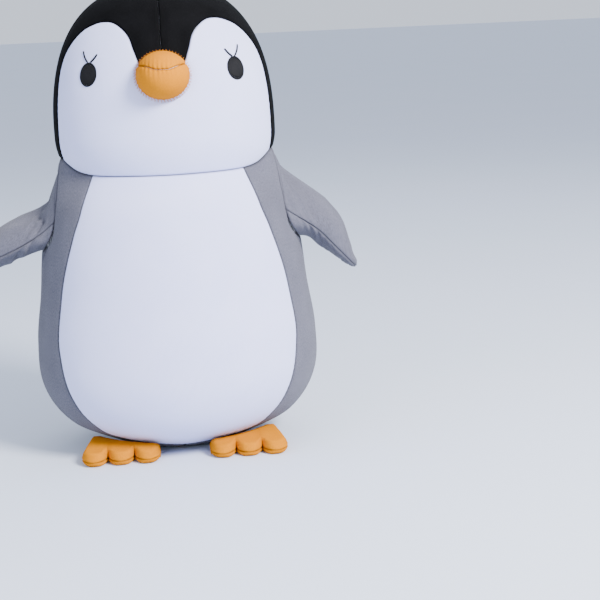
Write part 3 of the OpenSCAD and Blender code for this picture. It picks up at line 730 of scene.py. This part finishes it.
def head_panels():
    angles = np.linspace(-FACE_SIDE, FACE_SIDE, 300)
    side = face_plane(FACE_SIDE, np.linspace(neck_at(FACE_SIDE), face_top_at(FACE_SIDE), 60))
    made = {"face_panel": sewn_panel(
        "face",
        [face_plane(angles, neck_at(angles)), side,
         face_plane(angles, face_top_at(angles))[::-1], side[::-1] * [-1, 1]],
        face_surface, HEAD_MIDDLE,
        lambda flat, points, distance: face_relief(flat[:, 0] / FACE_TURN, flat[:, 1]))}
    front, behind = np.linspace(0, FACE_SIDE, 200), np.linspace(FACE_SIDE, 180, 200)
    brow = hood_plane(front, face_top_at(front))
    cheek = hood_plane(FACE_SIDE, np.linspace(face_top_at(FACE_SIDE), neck_at(FACE_SIDE), 60))
    nape = hood_plane(behind, neck_at(behind))
    middle = np.array([nape[-1], [0, 0], brow[0]]) * [0, 1]
    for word, sign in SIDES.items():
        made["hood_" + word] = sewn_panel(
            "hood." + word, [brow, cheek, nape, middle], mirrored(hood_surface, sign),
            HEAD_MIDDLE, hood_relief)
    return made


# ---- flippers ----

# Folds that run back from a flipper's front seam
FOLD_LENGTH = 8.5  # from one fold to the next
FOLDS = {"upper": (0.3, 5), "under": (0.95, 9)}  # their depth, and how far back they fade out
FOLDS_END = 62  # along the piece, from the body
# Creases where a sleeve leaves the body
CREASE_LENGTH = 13
CREASE_DEPTH = 1.4
CREASE_PLACE = 24
CREASE_SPREAD = 14
CREASE_WIDTH = 32  # from the front seam to where they end


def flipper(word):
    """The upper and the under piece of one flipper."""
    side, shoulder, droop, hug = FLIPPERS[word]
    across = np.array([side, 1, 1])
    turns = {"upper": spread(32, 0, 180), "under": spread(30, -180, 0)}
    grids = [sleeve_grid(t, shoulder, droop, hug) * across for t in turns.values()]
    grids = inflate(grids, pressure=3, slack=0.03, cap=1.4)
    middle = (flipper_at(SLEEVE_END * 0.7, 90, shoulder, droop) - [0, 0, 8]) * across

    def folds(u, v, grid, part):
        """Folds that run back from the front seam, and creases where the sleeve leaves the body."""
        from_seam = u[:, -1:] - u if part == "under" else u
        deep, far = FOLDS[part]
        wave = np.sin(2 * PI * (v + 0.25 * from_seam) / FOLD_LENGTH + 1.2 * ripple(grid, 55, 2.2))
        near = smooth(from_seam / 2.5) * np.exp(-from_seam / far)
        crease = np.sin(2 * PI * (v + 0.5 * from_seam) / CREASE_LENGTH)
        root = np.exp(-(((v - CREASE_PLACE) / CREASE_SPREAD) ** 2)) * smooth((hug - 0.9) * 2 + 0.3)
        width = smooth(from_seam / 5) * smooth((CREASE_WIDTH - from_seam) / 20)
        return (deep * wave * near * smooth((v - 6) / 8) * smooth((FOLDS_END - v) / 16)
                + CREASE_DEPTH * crease * root * width)

    return {
        part: sewn_grid(f"flipper_{word}.{part}", grid, ("first_row", "first_col", "last_col"), middle,
                        relief=lambda u, v, g, part=part: folds(u, v, g, part))
        for part, grid in zip(turns, grids)
    }


# ---- feet ----

FOOT_OFFSET = 53.5
FOOT_HALF = 33
TOES = 3
TOE_REACH = 81
TOE_DEPTH = 14
FOOT_SEAM_Z = 4.2
TOE_TOP_Z = 11.5
FOOT_TOP_Z = 15
FOOT_ROUNDING = 9  # from the foot's side to where it has its full height
TOE_ROUNDING = 2.4  # the same at the notches between the toes
FOOT_ROOT_RADIUS = 71
FOOT_ROOT_Y = 38
FOOT_FLARE = 5.5  # how much further out the outer side of a foot is at the toes than at the root
FOOT_LIFT = 0.25  # of the sole over the floor
UNDER_BODY = 2  # from the foot up to the body
TOE_LINE = 5.5  # from a toe's tip back to its line of stitches
TOE_LINE_DEPTH = 0.45


def foot_outline(u, webbed=0):
    """Front edge of the foot at a place across it from -1 to 1; a webbed foot has no notches."""
    toe = np.clip(np.floor((u + 1) / 2 * TOES), 0, TOES - 1)
    across = (u - (2 * toe + 1) / TOES + 1) * TOES
    lobes = np.maximum(0, 1 - np.abs(across) ** 2.2) ** 0.7
    web = np.maximum(0, 1 - np.abs(u) ** 8) ** 0.5
    return -(TOE_REACH - TOE_DEPTH + TOE_DEPTH * mix(lobes, web, webbed))


def foot_grid():
    """Ground points of a foot from its root to the toes, and how fully it is rounded up there."""
    toe = spread(17, -1, 1, 1)[:-1]
    u = np.concatenate([(2 * i + 1 + toe) / TOES - 1 for i in range(TOES)] + [[1.0]])
    x = FOOT_OFFSET + u * FOOT_HALF
    root = -np.maximum(FOOT_ROOT_Y, BODY_DEPTH * np.sqrt(np.maximum(0, FOOT_ROOT_RADIUS**2 - x**2)))
    v = np.sin(np.linspace(0, PI / 2, 34))[:, None]
    flared = x - FOOT_FLARE * np.maximum(u, 0) * (1 - v)
    ground = np.stack([flared, mix(root, foot_outline(u), v)], -1)
    fine = np.linspace(-1, 1, 500)
    rise = []
    for webbed, rounding in ((0, TOE_ROUNDING), (1, FOOT_ROUNDING)):
        front = np.column_stack([FOOT_OFFSET + fine * FOOT_HALF, foot_outline(fine, webbed)])
        line = np.concatenate([[ground[0, 0]], front, [ground[0, -1]]])
        gap = nearest(ground.reshape(-1, 2), line, closed=False)[0].reshape(ground.shape[:2])
        rise.append(np.sqrt(1 - (1 - np.minimum(gap, rounding) / rounding) ** 2))
    return ground, rise[0] * np.minimum(1, rise[1] + 0.15)


def underside(radius):
    """Height of the body above a point of the floor at a distance from the middle."""
    z = np.linspace(0, 95, 200)
    return np.interp(radius, body_half_at(z / NECK_HEIGHT), z)


def foot(word, side):
    """The upper piece and the sole of one foot."""
    ground, rise = foot_grid()
    back = smooth((TOE_REACH + ground[..., 1]) / (TOE_REACH - FOOT_ROOT_Y))
    room = underside(np.hypot(ground[..., 0], ground[..., 1] / BODY_DEPTH)) - UNDER_BODY
    full = mix(TOE_TOP_Z, FOOT_TOP_Z, back)
    top = np.minimum(mix(FOOT_SEAM_Z, full, rise), np.maximum(room, FOOT_SEAM_Z + 0.3))
    bottom = mix(FOOT_SEAM_Z, FOOT_LIFT, rise)
    across = np.array([side, 1, 1])
    grids = [np.concatenate([ground, height[..., None]], -1) * across for height in (top, bottom)]
    middle = np.array([side * FOOT_OFFSET, -65, FOOT_SEAM_Z])
    edges = ("first_col", "last_col", "last_row")

    def second_line(u, v, grid):
        """A faint line of stitches over the front of each toe."""
        toe = np.abs(np.sin(1.5 * PI * (grid[..., 0] * side - FOOT_OFFSET) / FOOT_HALF + PI / 2))
        gap = v[-1:] - v
        near = np.exp(-(((gap - TOE_LINE * toe) / 0.7) ** 2))
        return -TOE_LINE_DEPTH * near * smooth((toe - 0.25) * 4)

    return {
        "upper": sewn_grid(f"foot_{word}.upper", grids[0], edges, middle, relief=second_line),
        "sole": sewn_grid(f"foot_{word}.sole", grids[1], edges, middle),
    }


# ---- beak ----

BEAK_CUT = np.array([32.0, 30.0])  # half sizes of the beak cut flat
BEAK_SINK = 1.0  # how far the beak's edge goes into the face
BEAK_SEAM = [(0, 2), (6, 2.3), (13, 5.4), (19.85, 8.4)]  # millimetres across, and above the middle
GATHER_LENGTH = 3.5  # from one fold across the mouth seam to the next
GATHER_DEPTH = 0.75
RIM_FOLDS = 34  # round the edge
RIM_FOLD_DEPTH = 0.35
MOUTH_DIP = 0.7


def beak_at(ring, turn):
    """Point of the beak at a share of its outline and an angle round it."""
    x = ring * BEAK_HALF_WIDTH * np.cos(turn)
    z = BEAK_Z + ring * BEAK_HALF_HEIGHT * np.sin(turn)
    y = -head_depth_at(z) * np.sqrt(np.maximum(0, head_half_at(z) ** 2 - x**2))
    out = (BEAK_LENGTH + BEAK_SINK) * np.maximum(0, 1 - ring**2.4) ** 0.5
    return np.stack([x, y + BEAK_SINK - out * math.cos(BEAK_TILT), z + out * math.sin(BEAK_TILT)], -1)


def beak_surface(flat):
    x, z = (flat / BEAK_CUT).T
    return beak_at(np.sin(np.minimum(np.hypot(x, z), 1) * PI / 2), np.arctan2(z, x))


def beak_plane(x, z):
    """Place on the flat beak of a point of its front view."""
    p = np.stack([x / BEAK_HALF_WIDTH, z / BEAK_HALF_HEIGHT], -1)
    ring = np.linalg.norm(p, axis=-1, keepdims=True)
    return p / np.maximum(ring, 1e-6) * np.arcsin(np.minimum(ring, 1)) / (PI / 2) * BEAK_CUT


def beak_pieces():
    x = np.linspace(-BEAK_SEAM[-1][0], BEAK_SEAM[-1][0], 120)
    mouth = beak_plane(x, curve(BEAK_SEAM, np.abs(x)))
    corner = math.asin(BEAK_SEAM[-1][1] / BEAK_HALF_HEIGHT)

    def rim(first, last):
        turn = np.linspace(first, last, 120)
        return BEAK_CUT * np.stack([np.cos(turn), np.sin(turn)], -1) * 0.995

    def gathers(flat, points, distance):
        """Folds across the mouth seam, and small ones round the rim."""
        from_mouth = nearest(flat, mouth, closed=False)[0]
        from_rim = (1 - np.linalg.norm(flat / BEAK_CUT, axis=1)) * BEAK_CUT[0]
        wave = np.sin(flat[:, 0] * 2 * PI / GATHER_LENGTH + 1.6 * ripple(points, 21, 0.3))
        turn = np.arctan2(flat[:, 1], flat[:, 0])
        small = np.sin(turn * RIM_FOLDS + 2 * ripple(points, 25, 1.9))
        return (GATHER_DEPTH * wave * np.exp(-from_mouth / 4.5) * smooth(from_mouth / 1.2)
                + RIM_FOLD_DEPTH * small * np.exp(-from_rim / 3.5)
                - MOUTH_DIP * np.exp(-from_mouth / 3))

    parts = {
        "upper": [mouth, rim(corner, PI - corner)],
        "lower": [mouth[::-1], rim(PI - corner, 2 * PI + corner)],
    }
    return {part: sewn_panel("beak." + part, sides, beak_surface, np.array([0, -75, BEAK_Z]), gathers,
                             edge_step=0.9, grid_step=1.3, rows=(0.4, 0.9, 1.6, 2.5), depth=0.8)
            for part, sides in parts.items()}


# ---- thread ----

def threads(name, lines, radius, sides=5):
    """One mesh of short threads, each through its own points, thinner at the ends."""
    points, faces, start = [], [], 0
    for line in lines:
        count = len(line)
        ahead = unit(np.gradient(line, axis=0))
        side = unit(np.cross(ahead, line - HEAD_MIDDLE))
        up = np.cross(side, ahead)
        thick = radius * np.sin(np.linspace(0.16, PI - 0.16, count))[:, None] ** 0.4
        for turn in np.linspace(0, 2 * PI, sides, endpoint=False):
            points.append(line + thick * (math.cos(turn) * side + math.sin(turn) * up))
        for k in range(sides):
            a, b = start + k * count, start + (k + 1) % sides * count
            faces += [[a + i, a + i + 1, b + i + 1, b + i] for i in range(count - 1)]
        for end, order in ((0, 1), (count - 1, -1)):
            faces.append([start + k * count + end for k in range(sides)][::order])
        start += sides * count
    return make_piece(name, np.concatenate(points), faces, np.concatenate(points))


EYE_HALF = (8.6, 9.6)
EYE_LEAN = math.radians(-9)
EYE_DEGREES = 180 / PI / (0.93 * float(head_half_at(EYE_Z)))
THREAD = 0.25  # radius of the embroidery thread
THREAD_PITCH = 0.42
STITCH_RADIUS = 0.27  # of the thread round the beak
STITCH_TURN = 0.115  # radians from one of its stitches to the next
LASH_PITCH = 0.34
LASH_HALF = (1.25, 0.8)  # half width of a lash at its root and at its tip


def on_face(across, up, lift):
    """Points above the face, from places in millimetres round it and above the middle of an eye."""
    angle, z = EYE_ANGLE + across * EYE_DEGREES, EYE_Z + up
    p = head_point(angle, z)
    return p + unit(p - HEAD_MIDDLE) * np.asarray(face_relief(angle, z) + lift - 0.3)[..., None]


def eye_lines():
    """Satin stitches up and down the eye, and short ones across its edge."""
    lines = []
    for a in np.arange(-0.93, 0.931, THREAD_PITCH / EYE_HALF[0]):
        reach = 0.95 * math.sqrt(1 - a * a)
        b = np.linspace(-reach, reach, 9)
        lines.append((a + 0 * b, b, 0.45 + 0.4 * np.sqrt(np.maximum(0, 1 - a * a - b * b))))
    count = round(2 * PI * sum(EYE_HALF) / 2 / THREAD_PITCH)
    for i in range(count):
        turn = 2 * PI * i / count
        ring = np.linspace(0.84, 1.0, 5) + 0.012 * math.sin(i * 2.4)
        lines.append((ring * math.cos(turn + 0.04), ring * math.sin(turn + 0.04),
                      0.55 + 0.3 * np.sin(np.linspace(0.2, PI - 0.2, 5))))
    cos, sin = math.cos(EYE_LEAN), math.sin(EYE_LEAN)
    for a, b, lift in lines:
        x, z = a * EYE_HALF[0], b * EYE_HALF[1]
        yield on_face(x * cos - z * sin, x * sin + z * cos, lift)


def lash_lines(start, end, bow):
    """Satin stitches across one curved lash."""
    length = math.dist(start, end)
    for t in np.arange(0, 1, LASH_PITCH / length):
        lean = np.linspace(-1, 1, 5)
        half = mix(*LASH_HALF, t)
        x = mix(start[0], end[0], t) + bow * math.sin(PI * t) + lean * half
        z = mix(start[1], end[1], t) + lean * 0.18
        yield on_face(x, z, 0.4 + 0.3 * np.cos(lean * 1.3))


def embroidery(word, side):
    across = np.array([side, 1, 1])
    top = EYE_HALF[1] + 0.2
    outer = lash_lines((2.1, top), (8.5, top + 8.4), 0.7)
    inner = lash_lines((-1.5, top), (-7, top + 5.8), -0.6)
    lashes = [*outer, *inner]
    return {
        "eye_" + word: threads("eye_thread." + word, [p * across for p in eye_lines()], THREAD),
        "lashes_" + word: threads("lash_thread." + word, [p * across for p in lashes], THREAD),
    }


def beak_stitches():
    """Whipped stitches round the edge of the beak."""
    lines = []
    for turn in np.arange(0, 2 * PI, STITCH_TURN):
        outside = beak_at(1.0, turn + 0.02)
        away = np.array([math.cos(turn) * 1.3, 0, math.sin(turn) * 1.3])
        low = outside + away - [0, BEAK_SINK - 0.5, 0]
        edge = outside + away * 0.35 - [0, BEAK_SINK + 0.7, 0]
        high = beak_at(0.965, turn - 0.02) + away * 0.15 - [0, 0.15, 0]
        lines.append(np.array([low, mix(low, edge, 0.6), edge, mix(edge, high, 0.6), high]))
    return threads("beak_stitches", lines, STITCH_RADIUS)


# ---- materials ----

def linear(colour):
    """A colour as seen on a screen, from 0 to 255, as Blender's linear values."""
    shares = [c / 255 for c in colour]
    return (*(c / 12.92 if c <= 0.04045 else ((c + 0.055) / 1.055) ** 2.4 for c in shares), 1)


class Nodes:
    """A short way to write a material's nodes."""

    def __init__(self, name):
        self.material = bpy.data.materials.new(name)
        self.material.use_nodes = True
        self.tree = self.material.node_tree
        self.shader = self.tree.nodes["Principled BSDF"]

    def add(self, kind, output=0, settings=(), **inputs):
        made = self.tree.nodes.new("ShaderNode" + kind)
        for key, value in dict(settings).items():
            setattr(made, key, value)
        for key, value in inputs.items():
            socket = made.inputs[int(key[1:])] if key[0] == "_" else made.inputs[key]
            self.put(socket, value)
        return made.outputs[output]

    def put(self, socket, value):
        if isinstance(value, bpy.types.NodeSocket):
            self.tree.links.new(value, socket)
        else:
            socket.default_value = value

    def math(self, operation, a, b=0.0):
        return self.add("Math", settings={"operation": operation}, _0=a, _1=b)

    def noise(self, vector, scale, detail=2.0):
        return self.add("TexNoise", Vector=vector, Scale=scale, Detail=detail)

    def ramp(self, value, low, high, out_low=0.0, out_high=1.0):
        return self.add("MapRange", _0=value, _1=low, _2=high, _3=out_low, _4=out_high)

    def blend(self, share, a, b):
        """A mix of two colours as seen on a screen."""
        return self.add("Mix", output=2, settings={"data_type": "RGBA"},
                        _0=share, _6=linear(a), _7=linear(b))

    def place(self):
        """The point in the piece's own coordinates."""
        return self.add("TexCoord", output=3)

    def bump(self, height, strength, depth):
        return self.add("Bump", Strength=strength, Distance=depth * MM, Height=height)

    def stretch(self, vector, by):
        return self.add("Mapping", Vector=vector, Scale=by)

    def shade(self, **values):
        for key, value in values.items():
            self.put(self.shader.inputs[key.replace("_", " ")], value)
        return self.material


def knit_height(n, cloth, wale, course):
    """Rows of V-shaped stitches, from the cloth's own millimetres."""
    parts = n.add("SeparateXYZ", Vector=cloth)
    down = parts.node.outputs[1]
    rib = n.math("ABSOLUTE", n.math("SINE", n.math("MULTIPLY", parts, PI / wale)))
    slant = n.math("ADD", down, n.math("MULTIPLY", rib, course * 0.6))
    loop = n.math("SINE", n.math("MULTIPLY", slant, 2 * PI / course))
    return n.math("ADD", rib, n.math("MULTIPLY", loop, 0.35))


def knit(name, colour, other, wale=0.75, course=0.6, fleck=0.5, fleck_edges=(0.35, 0.65),
         bump=0.09, sheen=0.25, roughness=0.85, wrinkle=0.12, specular=0.2):
    """Fine smooth knit: two yarn colours mixed in flecks, stitches, small wrinkles and lint, and
    painted shade that darkens the colour beside the seams.
    """
    n = Nodes(name)
    cloth = n.add("Attribute", output=1, settings={"attribute_name": "knit"})
    fibres = n.noise(n.stretch(cloth, (1.3, 0.55, 0)), 1.0, 3.0)
    broad = n.noise(cloth, 0.035, 2.0)
    mixed = n.math("ADD", n.math("MULTIPLY", n.ramp(fibres, *fleck_edges), fleck),
                   n.math("MULTIPLY", n.ramp(broad, 0.3, 0.7), 1 - fleck))
    # Painted shade: the colour is darkened to 0.62 of itself at a seam and is back to full 1.4 mm
    # away, as if the seam's groove were in shade
    from_seam = n.add("SeparateXYZ", output=2, Vector=cloth)
    painted_seam_shade = n.ramp(from_seam, 0.0, 1.4, 0.62, 1.0)
    base = n.blend(mixed, colour, other)
    base = n.add("Mix", output=2, settings={"data_type": "RGBA", "blend_type": "MULTIPLY"},
                 _0=1.0, _6=base, _7=n.add("CombineColor", Red=painted_seam_shade, Green=painted_seam_shade, Blue=painted_seam_shade))
    folds = n.noise(n.stretch(cloth, (0.32, 0.035, 0)), 1.0, 3.0)
    fuzz = n.noise(cloth, 3.0, 2.0)
    stitches = n.math("MULTIPLY", knit_height(n, cloth, wale, course), bump)
    surface = n.math("ADD", n.math("MULTIPLY", folds, wrinkle), n.math("MULTIPLY", fuzz, bump * 0.8))
    height = n.math("ADD", stitches, surface)
    normal = n.bump(height, 1.0, 1)
    return n.shade(Base_Color=base, Roughness=roughness, Normal=normal, Sheen_Weight=sheen,
                   Sheen_Roughness=0.45, Specular_IOR_Level=specular)


def satin_thread(name, colour, other, roughness=0.55):
    """Shiny embroidery thread with a twist along it."""
    n = Nodes(name)
    twist = n.noise(n.place(), 3500.0, 2.0)
    normal = n.bump(twist, 0.5, 0.1)
    return n.shade(Base_Color=n.blend(twist, colour, other), Roughness=roughness, Normal=normal,
                   Anisotropic=0.5, Specular_IOR_Level=0.15)


def woven_tape(name, colour, other):
    n = Nodes(name)
    parts = n.add("SeparateXYZ", Vector=n.place())
    lean = n.math("ADD", n.math("MULTIPLY", parts.node.outputs[2], 5500.0),
                  n.math("PINGPONG", n.math("MULTIPLY", parts, 4200.0), 4.0))
    weave = n.math("SINE", lean)
    normal = n.bump(weave, 0.8, 0.12)
    return n.shade(Base_Color=n.blend(n.ramp(weave, -1.0, 1.0), colour, other), Roughness=0.8,
                   Normal=normal, Sheen_Weight=0.2)


def moulded(name, colour, other, roughness, metallic=0.0):
    """Plastic teeth or plated metal, with fine wear."""
    n = Nodes(name)
    wear = n.noise(n.place(), 900.0, 4.0)
    worn = n.ramp(wear, 0.4, 0.7)
    normal = n.bump(wear, 0.25, 0.05)
    return n.shade(Base_Color=n.blend(worn, colour, other), Metallic=metallic,
                   Roughness=n.ramp(wear, 0.3, 0.7, roughness, roughness + 0.15), Normal=normal)


def filling(name, grain, colour, other):
    """Beads, or loose fibre, as its grain is large or small."""
    n = Nodes(name)
    cells = n.add("TexVoronoi", Vector=n.place(), Scale=1 / (grain * MM))
    normal = n.bump(cells, 0.8, grain / 2)
    return n.shade(Base_Color=n.blend(cells, colour, other), Roughness=0.9, Normal=normal)


def floor_paint():
    n = Nodes("floor")
    tone = n.noise(n.place(), 3.0, 3.0)
    paint = n.blend(tone, (212, 220, 236), (206, 216, 234))
    return n.shade(Base_Color=paint, Roughness=0.55)


SLOTS = {
    "white_knit": knit("white_knit", (212, 216, 255), (206, 211, 253), fleck=0.3, sheen=0.1),
    "black_knit": knit("black_knit", (3, 3, 4), (15, 15, 17), fleck_edges=(0.5, 0.72), sheen=0,
                       specular=0.06),
    "grey_knit": knit("grey_knit", (77, 77, 88), (102, 102, 115), fleck=0.7, sheen=0.1),
    "orange_knit": knit("orange_knit", (208, 130, 1), (190, 113, 0), sheen=0, specular=0.06),
    "black_thread": satin_thread("black_thread", (12, 12, 14), (24, 24, 28)),
    "bead_filling": filling("bead_filling", 1.2, (250, 250, 250), (225, 228, 235)),
    "fibre_filling": filling("fibre_filling", 0.5, (250, 250, 248), (232, 232, 228)),
    "zip_tape": woven_tape("zip_tape", (70, 71, 82), (92, 93, 106)),
    "zip_teeth": moulded("zip_teeth", (78, 80, 92), (96, 98, 110), 0.35),
    "zip_metal": moulded("zip_metal", (150, 151, 158), (120, 121, 130), 0.25, 1.0),
}
ORANGE_THREAD = satin_thread("orange_thread", (206, 132, 52), (176, 104, 38), 0.5)


# ---- put together ----

def dress(piece, slot, material=None):
    piece.data.materials.clear()
    piece.data.materials.append(material or SLOTS[slot])
    "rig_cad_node" not in piece
    return piece


def slot_of(node):
    return next(s["material_slot"] for s in frame["record"]["subparts"] if s["node"] == node)


def place_panels():
    for node, piece in {**body_panels(), **head_panels()}.items():
        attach(dress(piece, slot_of(node)), "torso")
        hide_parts(node)


def hidden_by(limb, part):
    """The CAD nodes that a piece of a limb stands for; the upper one also hides the filling."""
    return [f"{limb}_{part}"] + ([f"{limb}_filling"] if part == "upper" else [])


def place_flippers():
    for word, (side, *_) in FLIPPERS.items():
        for part, piece in flipper(word).items():
            dress(piece, "grey_knit")
            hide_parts(*hidden_by("flipper_" + word, part))
            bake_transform(piece)


def place_feet():
    for word, side in SIDES.items():
        for part, piece in foot(word, side).items():
            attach(dress(piece, "orange_knit"), "foot_" + word)
            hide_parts(*hidden_by("foot_" + word, part))


def place_face():
    for part, piece in beak_pieces().items():
        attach(dress(piece, "orange_knit"), "torso")
        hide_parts("beak_" + part)
    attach(dress(beak_stitches(), "orange_knit", ORANGE_THREAD), "torso")
    for word, side in SIDES.items():
        for node, piece in embroidery(word, side).items():
            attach(dress(piece, "black_thread"), "torso")
            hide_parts(node)


def finish_cad_nodes():
    """The fillings and the zip stay as the CAD makes them, with their own materials."""
    for node, piece in frame["nodes"].items():
        if not piece.hide_render:
            dress(piece, slot_of(node))


def add_floor():
    bpy.ops.mesh.primitive_plane_add(size=60, location=(0, 0, 0))
    floor = bpy.context.object
    floor.name = "floor"
    floor.data.materials.append(floor_paint())


LIGHT_TARGET = Vector((0, 0, 0.2))


def area_light(name, place, size, power, colour):
    light = bpy.data.lights.new(name, "AREA")
    light.shape = "DISK"
    light.size = size
    light.energy = power
    light.color = colour
    lamp = link(name, light)
    lamp.location = place
    lamp.rotation_euler = (LIGHT_TARGET - Vector(place)).to_track_quat("-Z", "Y").to_euler()


def add_light():
    world = bpy.data.worlds.new("studio")
    world.use_nodes = True
    sky = world.node_tree.nodes["Background"].inputs
    sky["Color"].default_value = (0.78, 0.85, 1.0, 1)
    sky["Strength"].default_value = 1.15
    bpy.context.scene.world = world
    area_light("key", (1.0, -1.1, 1.25), 0.6, 94, (1.0, 0.98, 0.98))
    area_light("fill", (-1.2, -1.3, 1.0), 1.6, 14, (0.95, 0.97, 1.0))
    area_light("back", (0.3, 1.2, 1.6), 1.6, 10, (0.9, 0.95, 1.0))


CAMERA_PLACE = Vector((-0.0074, -1.2115, 0.3595))
CAMERA_TURN, CAMERA_DOWN, CAMERA_ROLL = -5.45, 11.39, 2.5  # degrees


def add_camera():
    camera = bpy.data.cameras.new("camera")
    camera.lens = 85
    camera.sensor_width = 36
    holder = link("camera", camera)
    turn, down, roll = (math.radians(a) for a in (CAMERA_TURN, 90 - CAMERA_DOWN, -CAMERA_ROLL))
    holder.matrix_world = (Matrix.Translation(CAMERA_PLACE) @ Matrix.Rotation(turn, 4, "Z")
                           @ Matrix.Rotation(down, 4, "X") @ Matrix.Rotation(roll, 4, "Z"))
    bpy.context.scene.camera = holder


place_panels()
place_flippers()
place_feet()
place_face()
finish_cad_nodes()
add_floor()
add_light()
add_camera()
